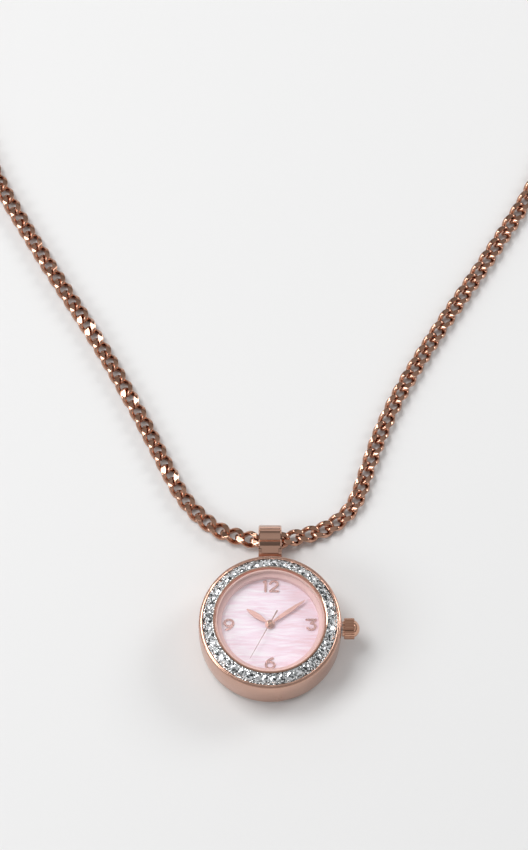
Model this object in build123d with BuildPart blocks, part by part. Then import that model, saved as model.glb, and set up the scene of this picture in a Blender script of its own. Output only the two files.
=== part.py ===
from build123d import *
import math
import os

# Pendant watch on a curb chain, in millimetres.
# The watch lies on its case back with the dial facing +Z, 12 o'clock towards +Y and the crown towards +X.
# The origin is the centre of the case back's flat face.

os.makedirs("parts", exist_ok=True)

# Clearances and shared cuts
seat_gap = 0.02
running_gap = 0.05
layer_gap = 0.12
overrun = 1.0

# Case
case_radius = 14.0
case_bulge = 0.08
case_foot_height = 0.3
case_foot_round = 1.45
case_rim_drop = 0.55
case_rim_height = 9.2
case_rim_width = 0.75
case_bore_radius = 11.5
case_shelf_height = 8.0
stem_height = 5.2

# Case back and its gasket
back_flange_radius = 11.9
back_flange_thickness = 1.0
back_edge_bevel = 0.45
back_plug_wall = 0.8
back_plug_height = 1.0
back_gasket_height = 0.3

# Bezel, stone channel and stones
bezel_flange_thickness = 0.5
bezel_crest = 0.15
channel_width = 2.0
channel_edge_height = 0.5
channel_rise = 1.15
channel_groove_depth = 0.16
channel_rail_width = 0.2
stone_count = 46
stone_radius = 0.74
stone_table_radius = 0.42
stone_crown_height = 0.22
stone_girdle_height = 0.05
stone_pavilion_depth = 0.5
stone_sides = 8

# Glass, rehaut and dial
glass_radius = 10.4
glass_thickness = 1.2
glass_bevel = 0.12
glass_gasket_width = 0.26
dial_radius = 11.3
dial_plate_thickness = 0.3
dial_pearl_thickness = 0.15
dial_hole_radius = 0.8
dial_foot_radius = 0.35
dial_foot_length = 1.2
dial_foot_inset = 1.3
dial_foot_turns = (158.0, -30.0)
rehaut_bore_radius = 9.6
rehaut_height = 1.55
rehaut_lip_drop = 0.25

# Numerals
numeral_ring_radius = 8.1
numeral_height = 2.5
numeral_width_share = 1.22
numeral_stroke = 0.4
numeral_thickness = 0.2
one_shares = ((-0.1, 0.36), (0.0, 0.42), (0.0, -0.42))
two_bow_shares = (0.0, 0.18, 0.24)
two_bow_turns = (-40.0, 170.0)
two_foot_shares = ((0.19, 0.03), (-0.24, -0.42), (0.26, -0.42))
three_top_shares = ((-0.3, 0.42), (0.26, 0.42), (-0.02, 0.1))
three_bow_shares = (-0.02, -0.15, 0.27)
three_bow_turns = (-150.0, 90.0)
six_bowl_shares = (0.0, -0.15, 0.27)
six_tail_shares = (0.31, -0.15, 0.58)
six_tail_turns = (105.0, 180.0)
twelve_spread_shares = (-0.36, 0.3)

# Hands, with their places at nine minutes past ten
hand_clearance = 0.3
hour_hand_length = 5.6
hour_hand_width = 1.0
hour_hand_turn = 304.5
minute_hand_length = 8.4
minute_hand_width = 0.8
minute_hand_turn = 54.3
hand_thickness = 0.18
hand_neck_width = 0.36
hand_tip_width = 0.12
hand_belly_share = 0.42
second_hand_length = 8.4
second_hand_tail = 3.06
second_hand_width = 0.16
second_hand_tail_width = 0.26
second_hand_turn = 208.0
second_hand_thickness = 0.1
hour_boss_radius = 0.95
minute_boss_radius = 0.76
second_boss_radius = 0.56
hub_cap_height = 0.22
hub_dimple_radius = 0.22

# Arbors on the centre axis
second_arbor_radius = 0.11
cannon_wall = 0.16
hour_tube_wall = 0.2

# Movement
holder_wall = 2.05
holder_height = 4.8
plate_radius = 9.2
plate_floor_drop = 0.6
plate_dial_gap = 0.08
motion_recess_depth = 0.75
wheel_thickness = 0.12
pinion_thickness = 0.25
pivot_radius = 0.12
pivot_depth = 0.4
bridge_radius = 4.6
bridge_centre = (0.2, 0.75)
bridge_thickness = 0.22
bridge_drop = 1.4
pillar_radius = 0.4
bridge_pillars = ((0.35, -3.0), (3.6, 2.2), (-3.9, 0.55))
board_pillars = ((6.6, 4.2), (7.1, -3.2), (1.3, -7.6))
board_thickness = 0.2
board_drop = 1.7
board_motor_depth = 7.5
screw_radius = 0.2
screw_head_radius = 0.45
screw_head_height = 0.25
screw_length = 0.9
screw_slot_width = 0.12

# Toothed wheels: teeth and module
cannon_teeth = 12
minute_wheel_teeth = 36
minute_pinion_teeth = 10
hour_wheel_teeth = 40
motion_module = 0.1
hour_module = 0.096
setting_teeth = 20
second_pinion_teeth = 8
third_wheel_teeth = 60
third_pinion_teeth = 8
centre_wheel_teeth = 64
third_module = 0.075
step_pinion_teeth = 8
second_wheel_teeth = 40
step_module = 0.0875
rotor_pinion_teeth = 6
step_wheel_teeth = 36
rotor_module = 0.0905
addendum_share = 0.8
dedendum_share = 1.1
tooth_root_share = 0.85
tooth_tip_share = 0.42
minute_wheel_turn = 40.0
third_wheel_turn = -20.0
step_wheel_turn = 150.0
rotor_turn = 100.0
setting_wheel_turn = -32.0
rotor_magnet_radius = 0.72
rotor_magnet_height = 0.4

# Motor and electronics
stator_thickness = 0.23
stator_width = 1.0
stator_eye_radius = 1.6
stator_bore_radius = 1.0
coil_radius = 0.8
coil_length = 6.4
coil_centre = (-0.8, 6.75)
coil_core_overhang = 1.0
coil_core_width = 0.8
coil_core_thickness = 0.3
coil_core_height = 3.95
battery_radius = 3.4
battery_height = 2.1
battery_centre = (-3.2, -4.6)
battery_cap_radius = 2.7
battery_step = 0.3
battery_clearance = 0.2
insulator_thickness = 0.1
strap_width = 1.4
strap_thickness = 0.13
strap_end = (3.4, -7.0)
quartz_radius = 0.7
quartz_length = 5.0
quartz_centre = (6.7, 0.6)
chip_size = (2.0, 2.0, 0.6)
chip_centre = (5.0, 5.6)

# Crown, its tube, gasket and stem
tube_radius = 0.9
tube_bore_radius = 0.5
tube_inside_length = 2.2
tube_outside_length = 1.0
crown_radius = 2.1
crown_case_gap = 0.12
crown_flange_radius = 1.55
crown_flange_length = 0.35
crown_knurl_length = 2.05
crown_dome_length = 1.05
crown_dome_radius = 1.72
crown_flutes = 24
crown_flute_radius = 0.17
crown_edge_bevel = 0.12
crown_cavity_radius = 1.3
crown_cavity_depth = 1.5
crown_gasket_length = 0.35
stem_radius = 0.4
stem_tip_x = 4.7
stem_square = 0.46
stem_square_length = 2.3
stem_groove_x = 7.75
stem_groove_radius = 0.2
stem_groove_length = 0.5
stem_hub_depth = 0.7

# Hand setting parts
keyless_pocket = (4.35, 3.0)
keyless_pocket_x = 6.825
sliding_pinion_radius = 0.72
sliding_pinion_length = 0.95
sliding_pinion_x = 5.75
sliding_pinion_groove = 0.2
lever_thickness = 0.18
lever_post_radius = 0.15
lever_arm = 1.25
lever_pivot_radius = 0.3
yoke_width = 0.5
yoke_reach = 1.3

# Lug, bail and pin
pin_y = 15.9
pin_radius = 0.4
ear_radius = 1.1
ear_thickness = 0.55
ear_neck = 0.8
bail_width = 4.55
bail_eye_radius = 2.9
bail_wall = 0.75
bail_reach = 4.47
bail_droop = 29.5
bail_knuckle_radius = 1.0
bail_throat_radius = 0.4
bail_bevel = 0.22

# Curb chain: flat-cut links of round wire
wire_diameter = 0.8
link_width = 3.2
link_length = 4.8
link_lean = 45.0
link_flat_height = 0.95
link_play = 0.05

# Chain route, chosen by hand: from the middle of the bail to the clasp, on each side
left_route = (
    (0.0, 19.4, 2.45),
    (-7.2, 20.9, 1.35),
    (-12.6, 24.0, 1.05),
    (-17.6, 29.6, 1.05),
    (-21.4, 37.6, 1.05),
    (-26.4, 48.0, 1.05),
    (-34.6, 63.6, 1.05),
    (-46.2, 82.4, 1.05),
    (-58.5, 104.5, 1.05),
    (-64.8, 127.5, 1.05),
    (-60.0, 151.0, 1.05),
    (-42.5, 168.0, 1.05),
    (-21.5, 175.4, 1.3),
    (-5.0, 176.4, 1.6),
)
right_route = (
    (0.0, 19.4, 2.45),
    (6.6, 21.0, 1.5),
    (12.4, 23.2, 1.05),
    (17.0, 27.6, 1.05),
    (19.6, 36.0, 1.05),
    (23.8, 48.0, 1.05),
    (32.2, 63.2, 1.05),
    (44.4, 82.0, 1.05),
    (57.0, 103.0, 1.05),
    (64.2, 126.5, 1.05),
    (60.4, 150.0, 1.05),
    (44.0, 167.2, 1.05),
    (23.5, 175.2, 1.3),
    (5.75, 176.4, 1.7),
)
route_turn_share = 0.45

# Clasp and its rings
ring_wire_radius = 0.3
clasp_ring_radius = 1.3
end_ring_radius = 1.75
clasp_eye_radius = 1.55
clasp_eye_bore = 0.95
clasp_eye_thickness = 0.8
clasp_shoulder = 1.9
clasp_hook_radius = 2.6
clasp_hook_bore = 1.7
clasp_hook_offset = 0.3
clasp_thickness = 1.2
clasp_gate_thickness = 0.5
clasp_gate_gap = 0.08
clasp_gate_start = 72.0
clasp_gate_end = 150.0
clasp_gate_lap = 10.5
clasp_gate_swing = 25.0
clasp_gate_tip_radius = 0.3
clasp_gate_root_radius = 0.6
clasp_pivot = (-2.75, 1.3)
clasp_pivot_radius = 0.25
clasp_tab = (-4.35, 2.1)
clasp_tab_radius = 0.32
clasp_spring_wire = 0.14

# Places worked out from the sizes above
case_foot_radius = case_radius - case_foot_round
back_plug_radius = case_bore_radius - 2 * running_gap
back_plug_top = back_flange_thickness + back_plug_height
holder_bottom = back_plug_top + seat_gap
holder_top = holder_bottom + holder_height
dial_plate_bottom = holder_top + seat_gap
dial_plate_top = dial_plate_bottom + dial_plate_thickness
dial_pearl_bottom = dial_plate_top + seat_gap
dial_pearl_top = dial_pearl_bottom + dial_pearl_thickness
rehaut_bottom = dial_pearl_top + seat_gap
rehaut_top = rehaut_bottom + rehaut_height
glass_bottom = rehaut_top + seat_gap
glass_top = glass_bottom + glass_thickness
gasket_inner = glass_radius + seat_gap
gasket_outer = gasket_inner + glass_gasket_width
bezel_bore = gasket_outer + seat_gap
channel_outer = case_radius - case_rim_width - seat_gap
channel_inner = channel_outer - channel_width
bezel_ring_outer = channel_inner - seat_gap
bezel_flange_bottom = case_shelf_height + seat_gap
bezel_flange_top = bezel_flange_bottom + bezel_flange_thickness
channel_bottom = bezel_flange_top + seat_gap
channel_low = channel_bottom + channel_edge_height
channel_high = channel_low + channel_rise
channel_slope = math.degrees(math.atan2(channel_rise, channel_width))
stone_ring_radius = (channel_inner + channel_outer) / 2
stone_ring_height = (channel_low + channel_high) / 2
plate_bottom = stem_height - plate_floor_drop
plate_top = dial_plate_bottom - plate_dial_gap
motion_floor = plate_top - motion_recess_depth
bridge_bottom = plate_bottom - bridge_drop
bridge_top = bridge_bottom + bridge_thickness
board_bottom = plate_bottom - board_drop
board_top = board_bottom + board_thickness
hour_hand_bottom = dial_pearl_top + hand_clearance
minute_hand_bottom = hour_hand_bottom + hand_thickness + hand_clearance / 2
second_hand_bottom = minute_hand_bottom + hand_thickness + hand_clearance / 2
link_pitch = link_length - 2 * wire_diameter - link_play


def polar(distance, turn, origin=(0, 0)):
    """A point at a distance and a turn in degrees from +X, about an origin."""
    angle = math.radians(turn)
    return (origin[0] + distance * math.cos(angle), origin[1] + distance * math.sin(angle))


def centre_distance(teeth_a, teeth_b, module):
    """Distance between the axes of two meshing wheels."""
    return (teeth_a + teeth_b) * module / 2


minute_axis = polar(centre_distance(cannon_teeth, minute_wheel_teeth, motion_module), minute_wheel_turn)
setting_axis = polar(
    centre_distance(minute_wheel_teeth, setting_teeth, motion_module), setting_wheel_turn, minute_axis
)
third_axis = polar(centre_distance(second_pinion_teeth, third_wheel_teeth, third_module), third_wheel_turn)
third_pinion_module = 2 * math.hypot(*third_axis) / (third_pinion_teeth + centre_wheel_teeth)
step_axis = polar(centre_distance(step_pinion_teeth, second_wheel_teeth, step_module), step_wheel_turn)
rotor_axis = polar(centre_distance(rotor_pinion_teeth, step_wheel_teeth, rotor_module), rotor_turn, step_axis)


def toothed_disc(teeth, module, bottom, thickness, axis=(0, 0)):
    """Add a wheel or pinion with straight-sided teeth to the part that is open."""
    pitch_radius = teeth * module / 2
    root_radius = pitch_radius - dedendum_share * module
    tooth_height = (dedendum_share + addendum_share) * module
    root_half = tooth_root_share * module
    tip_half = tooth_tip_share * module
    with BuildSketch(Plane.XY.offset(bottom)) as disc:
        with Locations(axis):
            Circle(root_radius)
            with PolarLocations(root_radius, teeth):
                Polygon(
                    (-module / 2, -root_half),
                    (tooth_height, -tip_half),
                    (tooth_height, tip_half),
                    (-module / 2, root_half),
                )
    extrude(disc.sketch, amount=thickness)


def rod(radius, bottom, top, axis=(0, 0), mode=Mode.ADD):
    """Add or cut an upright round rod between two heights."""
    with BuildSketch(Plane.XY.offset(bottom)) as disc:
        with Locations(axis):
            Circle(radius)
    extrude(disc.sketch, amount=top - bottom, mode=mode)


def turned(outline):
    """Revolve a closed outline of (radius, height) points about Z into the part that is open."""
    with BuildSketch(Plane.XZ) as half:
        with BuildLine():
            Polyline(*outline, close=True)
        make_face()
    revolve(half.sketch, axis=Axis.Z)


# Case

with BuildPart() as case_body:
    with BuildSketch(Plane.XZ):
        with BuildLine():
            Line((back_flange_radius + running_gap, case_foot_height), (case_foot_radius, case_foot_height))
            TangentArc(
                (case_foot_radius, case_foot_height),
                (case_radius - case_bulge, case_foot_height + case_foot_round),
                tangent=(1, 0),
            )
            ThreePointArc(
                (case_radius - case_bulge, case_foot_height + case_foot_round),
                (case_radius + case_bulge, stem_height),
                (case_radius, case_rim_height - case_rim_drop),
            )
            ThreePointArc(
                (case_radius, case_rim_height - case_rim_drop),
                (case_radius - case_rim_width / 4, case_rim_height - case_rim_drop / 4),
                (case_radius - case_rim_width + seat_gap * 2, case_rim_height),
            )
            Polyline(
                (case_radius - case_rim_width + seat_gap * 2, case_rim_height),
                (case_radius - case_rim_width, case_rim_height - seat_gap * 2),
                (case_radius - case_rim_width, case_shelf_height),
                (case_bore_radius, case_shelf_height),
                (case_bore_radius, back_flange_thickness + back_gasket_height + 2 * seat_gap),
                (back_flange_radius + running_gap, back_flange_thickness + back_gasket_height + 2 * seat_gap),
                (back_flange_radius + running_gap, case_foot_height),
            )
        make_face()
    revolve(axis=Axis.Z)
    with BuildSketch(Plane.YZ):
        with Locations((0, stem_height)):
            Circle(tube_radius + seat_gap)
    extrude(amount=case_radius + overrun, mode=Mode.SUBTRACT)
case_body.part.label = "case_body"

with BuildPart() as case_back:
    turned(
        (
            (0, 0),
            (back_flange_radius - back_edge_bevel, 0),
            (back_flange_radius, back_edge_bevel),
            (back_flange_radius, back_flange_thickness),
            (back_plug_radius, back_flange_thickness),
            (back_plug_radius, back_plug_top),
            (back_plug_radius - back_plug_wall, back_plug_top),
            (back_plug_radius - back_plug_wall, back_flange_thickness),
            (0, back_flange_thickness),
        )
    )
case_back.part.label = "case_back"

with BuildPart() as case_back_gasket:
    rod(back_flange_radius, back_flange_thickness + seat_gap, back_flange_thickness + back_gasket_height)
    rod(case_bore_radius + running_gap, 0, back_plug_top, mode=Mode.SUBTRACT)
case_back_gasket.part.label = "case_back_gasket"

# Bezel ring, stone channel and stones

with BuildPart() as bezel:
    turned(
        (
            (bezel_bore, bezel_flange_bottom),
            (channel_outer, bezel_flange_bottom),
            (channel_outer, bezel_flange_top),
            (bezel_ring_outer, bezel_flange_top),
            (bezel_ring_outer, channel_high + bezel_crest / 2),
            (bezel_ring_outer - bezel_crest, channel_high + bezel_crest),
            (bezel_bore + bezel_crest, channel_high + bezel_crest),
            (bezel_bore, glass_top),
        )
    )
bezel.part.label = "bezel"

with BuildPart() as brilliant:
    with BuildSketch(Plane.XY.offset(-stone_pavilion_depth)):
        RegularPolygon(running_gap, stone_sides)
    with BuildSketch(Plane.XY):
        RegularPolygon(stone_radius, 2 * stone_sides)
    loft(ruled=True)
    with BuildSketch(Plane.XY):
        RegularPolygon(stone_radius, 2 * stone_sides)
    extrude(amount=stone_girdle_height)
    with BuildSketch(Plane.XY.offset(stone_girdle_height)):
        RegularPolygon(stone_radius, 2 * stone_sides)
    with BuildSketch(Plane.XY.offset(stone_girdle_height + stone_crown_height)):
        RegularPolygon(stone_table_radius, stone_sides, rotation=180 / stone_sides)
    loft(ruled=True)

stone_places = [
    Location((0, 0, 0), (0, 0, index * 360 / stone_count))
    * Location((stone_ring_radius, 0, stone_ring_height), (0, channel_slope, 0))
    for index in range(stone_count)
]
bezel_stones = Compound(label="bezel_stones", children=[brilliant.part.moved(place) for place in stone_places])

with BuildPart() as stone_channel:
    rail = channel_rail_width
    turned(
        (
            (channel_inner, channel_bottom),
            (channel_outer, channel_bottom),
            (channel_outer, channel_low),
            (channel_outer - rail, channel_low + rail * channel_rise / channel_width),
            (channel_outer - rail, channel_low + rail * channel_rise / channel_width - channel_groove_depth),
            (channel_inner + rail, channel_high - rail * channel_rise / channel_width - channel_groove_depth),
            (channel_inner + rail, channel_high - rail * channel_rise / channel_width),
            (channel_inner, channel_high),
        )
    )
    with Locations(*stone_places):
        Cone(
            bottom_radius=2 * seat_gap,
            top_radius=stone_radius + 2 * seat_gap,
            height=stone_pavilion_depth + 2 * seat_gap,
            align=(Align.CENTER, Align.CENTER, Align.MAX),
            mode=Mode.SUBTRACT,
        )
        Cylinder(
            radius=stone_radius + 2 * seat_gap,
            height=overrun,
            align=(Align.CENTER, Align.CENTER, Align.MIN),
            mode=Mode.SUBTRACT,
        )
stone_channel.part.label = "stone_channel"

# Glass, its gasket and the rehaut

with BuildPart() as glass:
    rod(glass_radius, glass_bottom, glass_top)
    chamfer(glass.faces().sort_by(Axis.Z)[-1].edges(), glass_bevel)
glass.part.label = "glass"

with BuildPart() as glass_gasket:
    rod(gasket_outer, glass_bottom, glass_top - glass_bevel)
    rod(gasket_inner, 0, glass_top, mode=Mode.SUBTRACT)
glass_gasket.part.label = "glass_gasket"

with BuildPart() as rehaut:
    turned(
        (
            (rehaut_bore_radius, rehaut_bottom),
            (dial_radius, rehaut_bottom),
            (dial_radius, case_shelf_height - seat_gap),
            (gasket_outer, case_shelf_height - seat_gap),
            (gasket_outer, rehaut_top),
            (glass_radius - glass_bevel, rehaut_top),
            (rehaut_bore_radius, rehaut_top - rehaut_lip_drop),
        )
    )
rehaut.part.label = "rehaut"

# Dial

dial_foot_places = [polar(plate_radius - dial_foot_inset, turn) for turn in dial_foot_turns]

with BuildPart() as dial_plate:
    rod(dial_radius, dial_plate_bottom, dial_plate_top)
    for place in dial_foot_places:
        rod(dial_foot_radius, dial_plate_bottom - dial_foot_length, dial_plate_bottom, axis=place)
    rod(dial_hole_radius, 0, glass_top, mode=Mode.SUBTRACT)
dial_plate.part.label = "dial_plate"

with BuildPart() as dial_pearl:
    rod(dial_radius, dial_pearl_bottom, dial_pearl_top)
    rod(dial_hole_radius, 0, glass_top, mode=Mode.SUBTRACT)
dial_pearl.part.label = "dial_pearl"


def stroke(*points):
    """Add straight numeral strokes with round ends through points given as shares of the numeral's height."""
    for start, end in zip(points, points[1:]):
        first = Vector(*start) * numeral_height
        last = Vector(*end) * numeral_height
        middle = (first + last) / 2
        run = last - first
        with Locations((middle.X, middle.Y)):
            SlotCenterToCenter(run.length, numeral_stroke, rotation=math.degrees(math.atan2(run.Y, run.X)))


def bow(shares, turns):
    """Add a round numeral stroke: centre and radius as shares of the numeral's height, and its two ends."""
    across, up, radius = [share * numeral_height for share in shares]
    arc = Edge.make_circle(radius, Plane((across, up, 0)), start_angle=turns[0], end_angle=turns[1])
    SlotArc(arc, numeral_stroke)


def bowl(shares):
    """Add a closed round numeral stroke: centre and radius as shares of the numeral's height."""
    across, up, radius = [share * numeral_height for share in shares]
    with Locations((across, up)):
        Circle(radius + numeral_stroke / 2)
        Circle(radius - numeral_stroke / 2, mode=Mode.SUBTRACT)


def numeral_one():
    """Draw a one."""
    stroke(*one_shares)


def numeral_two():
    """Draw a two."""
    bow(two_bow_shares, two_bow_turns)
    stroke(*two_foot_shares)


def numeral_three():
    """Draw a flat-topped three."""
    stroke(*three_top_shares)
    bow(three_bow_shares, three_bow_turns)


def numeral_six():
    """Draw a six."""
    bowl(six_bowl_shares)
    bow(six_tail_shares, six_tail_turns)


numerals = (
    (numeral_one, twelve_spread_shares[0] * numeral_height, numeral_ring_radius, 0),
    (numeral_two, twelve_spread_shares[1] * numeral_height, numeral_ring_radius, 0),
    (numeral_three, numeral_ring_radius, 0, 0),
    (numeral_six, 0, -numeral_ring_radius, 0),
    (numeral_six, -numeral_ring_radius, 0, 180),
)

with BuildPart() as dial_numerals:
    for draw_numeral, across, up, turn in numerals:
        with BuildSketch(Plane((across, up, dial_pearl_top + seat_gap)).rotated((0, 0, turn))):
            draw_numeral()
            scale(by=(numeral_width_share, 1, 1))
        extrude(amount=numeral_thickness)
dial_numerals.part.label = "dial_numerals"

# Hands


def leaf(length, width, turn, bottom):
    """Add a leaf-shaped hand that points at a clock turn in degrees."""
    across = polar(1, -turn)
    plane = Plane(origin=(0, 0, bottom), x_dir=(across[0], across[1], 0), z_dir=(0, 0, 1))
    with BuildSketch(plane) as blade:
        with BuildLine():
            Polyline((hand_neck_width / 2, 0), (-hand_neck_width / 2, 0), (-hand_neck_width / 2, width))
            ThreePointArc(
                (-hand_neck_width / 2, width), (-width / 2, hand_belly_share * length), (-hand_tip_width / 2, length)
            )
            Line((-hand_tip_width / 2, length), (hand_tip_width / 2, length))
            ThreePointArc(
                (hand_tip_width / 2, length), (width / 2, hand_belly_share * length), (hand_neck_width / 2, width)
            )
            Line((hand_neck_width / 2, width), (hand_neck_width / 2, 0))
        make_face()
    extrude(blade.sketch, amount=hand_thickness)


cannon_bore = second_arbor_radius + running_gap
cannon_radius = cannon_bore + cannon_wall
hour_tube_bore = cannon_radius + running_gap
hour_tube_radius = hour_tube_bore + hour_tube_wall
minute_hand_top = minute_hand_bottom + hand_thickness
hour_hand_top = hour_hand_bottom + hand_thickness
second_hand_top = second_hand_bottom + second_hand_thickness

with BuildPart() as hour_hand:
    leaf(hour_hand_length, hour_hand_width, hour_hand_turn, hour_hand_bottom)
    rod(hour_boss_radius, hour_hand_bottom, hour_hand_top)
    rod(hour_tube_radius + seat_gap, 0, glass_top, mode=Mode.SUBTRACT)
hour_hand.part.label = "hour_hand"

with BuildPart() as minute_hand:
    leaf(minute_hand_length, minute_hand_width, minute_hand_turn, minute_hand_bottom)
    rod(minute_boss_radius, minute_hand_bottom, minute_hand_top)
    rod(cannon_radius + seat_gap, 0, glass_top, mode=Mode.SUBTRACT)
minute_hand.part.label = "minute_hand"

with BuildPart() as second_hand:
    second_across = polar(1, -second_hand_turn)
    second_plane = Plane(
        origin=(0, 0, second_hand_bottom), x_dir=(second_across[0], second_across[1], 0), z_dir=(0, 0, 1)
    )
    with BuildSketch(second_plane):
        Polygon(
            (-second_hand_width / 2, 0),
            (-second_hand_width / 4, second_hand_length),
            (second_hand_width / 4, second_hand_length),
            (second_hand_width / 2, 0),
            (second_hand_tail_width / 2, -second_hand_tail),
            (-second_hand_tail_width / 2, -second_hand_tail),
        )
    extrude(amount=second_hand_thickness)
    rod(second_boss_radius, second_hand_bottom, second_hand_top + hub_cap_height)
    fillet(second_hand.faces().sort_by(Axis.Z)[-1].edges(), hub_cap_height / 2)
    rod(second_arbor_radius + seat_gap, 0, second_hand_top, mode=Mode.SUBTRACT)
    with Locations((0, 0, second_hand_top + hub_cap_height + hub_dimple_radius / 2)):
        Sphere(hub_dimple_radius, mode=Mode.SUBTRACT)
second_hand.part.label = "second_hand"

# Motion works under the dial

minute_layer = motion_floor + seat_gap
hour_layer = minute_layer + pinion_thickness + layer_gap / 2
third_pinion_top = plate_bottom - layer_gap
centre_wheel_bottom = third_pinion_top - wheel_thickness

with BuildPart() as cannon_pinion:
    rod(cannon_radius, centre_wheel_bottom, minute_hand_top)
    toothed_disc(cannon_teeth, motion_module, minute_layer, pinion_thickness)
    toothed_disc(centre_wheel_teeth, third_pinion_module, centre_wheel_bottom, wheel_thickness)
    rod(cannon_bore, 0, glass_top, mode=Mode.SUBTRACT)
cannon_pinion.part.label = "cannon_pinion"

with BuildPart() as hour_wheel:
    rod(hour_tube_radius, hour_layer, hour_hand_top)
    toothed_disc(hour_wheel_teeth, hour_module, hour_layer, wheel_thickness)
    rod(hour_tube_bore, 0, glass_top, mode=Mode.SUBTRACT)
hour_wheel.part.label = "hour_wheel"

with BuildPart() as dial_washer:
    rod(hour_boss_radius + 2 * running_gap, plate_top - layer_gap / 2, dial_plate_bottom - running_gap)
    rod(hour_tube_radius + running_gap, 0, glass_top, mode=Mode.SUBTRACT)
dial_washer.part.label = "dial_washer"

with BuildPart() as minute_wheel:
    toothed_disc(minute_wheel_teeth, motion_module, minute_layer, wheel_thickness, minute_axis)
    rod(pivot_radius * 2, minute_layer, hour_layer, minute_axis)
    toothed_disc(minute_pinion_teeth, hour_module, hour_layer, wheel_thickness, minute_axis)
    rod(pivot_radius, motion_floor - pivot_depth, hour_layer, minute_axis)
minute_wheel.part.label = "minute_wheel"

with BuildPart() as setting_wheel:
    toothed_disc(setting_teeth, motion_module, minute_layer, wheel_thickness, setting_axis)
    rod(pivot_radius, motion_floor - pivot_depth, minute_layer + pinion_thickness, setting_axis)
setting_wheel.part.label = "setting_wheel"

# Train under the main plate

third_pinion_bottom = third_pinion_top - pinion_thickness
third_wheel_bottom = third_pinion_bottom - wheel_thickness
second_pinion_top = third_wheel_bottom + wheel_thickness + layer_gap / 4
second_pinion_bottom = second_pinion_top - pinion_thickness
second_wheel_bottom = second_pinion_bottom - layer_gap
rotor_magnet_bottom = bridge_top + layer_gap
rotor_pinion_bottom = rotor_magnet_bottom + rotor_magnet_height + layer_gap / 2
step_wheel_bottom = second_wheel_bottom + wheel_thickness + layer_gap / 2

with BuildPart() as second_wheel:
    rod(second_arbor_radius, bridge_bottom, second_hand_top - seat_gap)
    toothed_disc(second_wheel_teeth, step_module, second_wheel_bottom, wheel_thickness)
    toothed_disc(second_pinion_teeth, third_module, second_pinion_bottom, pinion_thickness)
second_wheel.part.label = "second_wheel"

with BuildPart() as third_wheel:
    rod(pivot_radius, bridge_bottom, plate_bottom + pivot_depth / 2, third_axis)
    toothed_disc(third_wheel_teeth, third_module, third_wheel_bottom, wheel_thickness, third_axis)
    toothed_disc(third_pinion_teeth, third_pinion_module, third_pinion_bottom, pinion_thickness, third_axis)
third_wheel.part.label = "third_wheel"

with BuildPart() as step_wheel:
    rod(pivot_radius, bridge_bottom, plate_bottom + pivot_depth / 2, step_axis)
    toothed_disc(step_wheel_teeth, rotor_module, step_wheel_bottom, wheel_thickness, step_axis)
    toothed_disc(
        step_pinion_teeth, step_module, second_wheel_bottom - layer_gap / 2, pinion_thickness, step_axis
    )
step_wheel.part.label = "step_wheel"

with BuildPart() as rotor:
    rod(pivot_radius, bridge_bottom, plate_bottom + pivot_depth / 2, rotor_axis)
    rod(rotor_magnet_radius, rotor_magnet_bottom, rotor_magnet_bottom + rotor_magnet_height, rotor_axis)
    toothed_disc(rotor_pinion_teeth, rotor_module, rotor_pinion_bottom, pinion_thickness, rotor_axis)
rotor.part.label = "rotor"

# Main plate, bridge and holder

coil_axis_height = coil_core_height
core_ends = (
    (coil_centre[0] - coil_length / 2 - coil_core_overhang / 2, coil_centre[1]),
    (coil_centre[0] + coil_length / 2 + coil_core_overhang / 2, coil_centre[1]),
)
core_top = coil_axis_height + coil_core_thickness / 2
pocket_length, pocket_width = keyless_pocket
lever_bottom = stem_height + stem_radius + running_gap
lever_pivot = (stem_groove_x, -lever_arm)

with BuildPart() as main_plate:
    rod(plate_radius, plate_bottom, plate_top)
    motion_wheels = (
        ((0, 0), hour_wheel_teeth * hour_module / 2),
        (minute_axis, minute_wheel_teeth * motion_module / 2),
        (setting_axis, setting_teeth * motion_module / 2),
    )
    for axis, pitch_radius in motion_wheels:
        rod(pitch_radius + layer_gap * 2, motion_floor, plate_top, axis, mode=Mode.SUBTRACT)
    for axis in (minute_axis, setting_axis):
        rod(pivot_radius + running_gap, motion_floor - 2 * pivot_depth, motion_floor, axis, Mode.SUBTRACT)
    rod(cannon_radius + running_gap, 0, plate_top, mode=Mode.SUBTRACT)
    for axis in (third_axis, step_axis, rotor_axis):
        rod(pivot_radius + running_gap, plate_bottom, plate_bottom + pivot_depth, axis, mode=Mode.SUBTRACT)
    for place in dial_foot_places:
        rod(dial_foot_radius + running_gap, 0, plate_top, place, mode=Mode.SUBTRACT)
    with BuildSketch(Plane.YZ.offset(stem_tip_x - running_gap)):
        with Locations((0, stem_height)):
            Circle(stem_radius + 2 * running_gap)
    extrude(amount=plate_radius, mode=Mode.SUBTRACT)
    with BuildSketch(Plane.XY.offset(plate_bottom)):
        with Locations((keyless_pocket_x, 0)):
            Rectangle(pocket_length, pocket_width)
    extrude(amount=motion_floor - plate_bottom, mode=Mode.SUBTRACT)
    rod(pivot_radius, lever_bottom, motion_floor, lever_pivot)
    with BuildSketch(Plane.XY.offset(plate_bottom)):
        with Locations(coil_centre):
            Rectangle(coil_length + 2 * layer_gap, 2 * coil_radius + 2 * layer_gap)
    extrude(amount=coil_axis_height + coil_radius + layer_gap - plate_bottom, mode=Mode.SUBTRACT)
    for place in bridge_pillars:
        rod(pillar_radius, bridge_top + seat_gap, plate_bottom, place)
        rod(screw_radius, bridge_bottom, plate_bottom, place, mode=Mode.SUBTRACT)
    for place in board_pillars:
        rod(pillar_radius, board_top + seat_gap, plate_bottom, place)
        rod(screw_radius, board_bottom, plate_bottom, place, mode=Mode.SUBTRACT)
    for place in core_ends:
        rod(pillar_radius, core_top + seat_gap, plate_bottom, place)
        rod(screw_radius, board_bottom, plate_bottom, place, mode=Mode.SUBTRACT)
main_plate.part.label = "main_plate"

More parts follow.
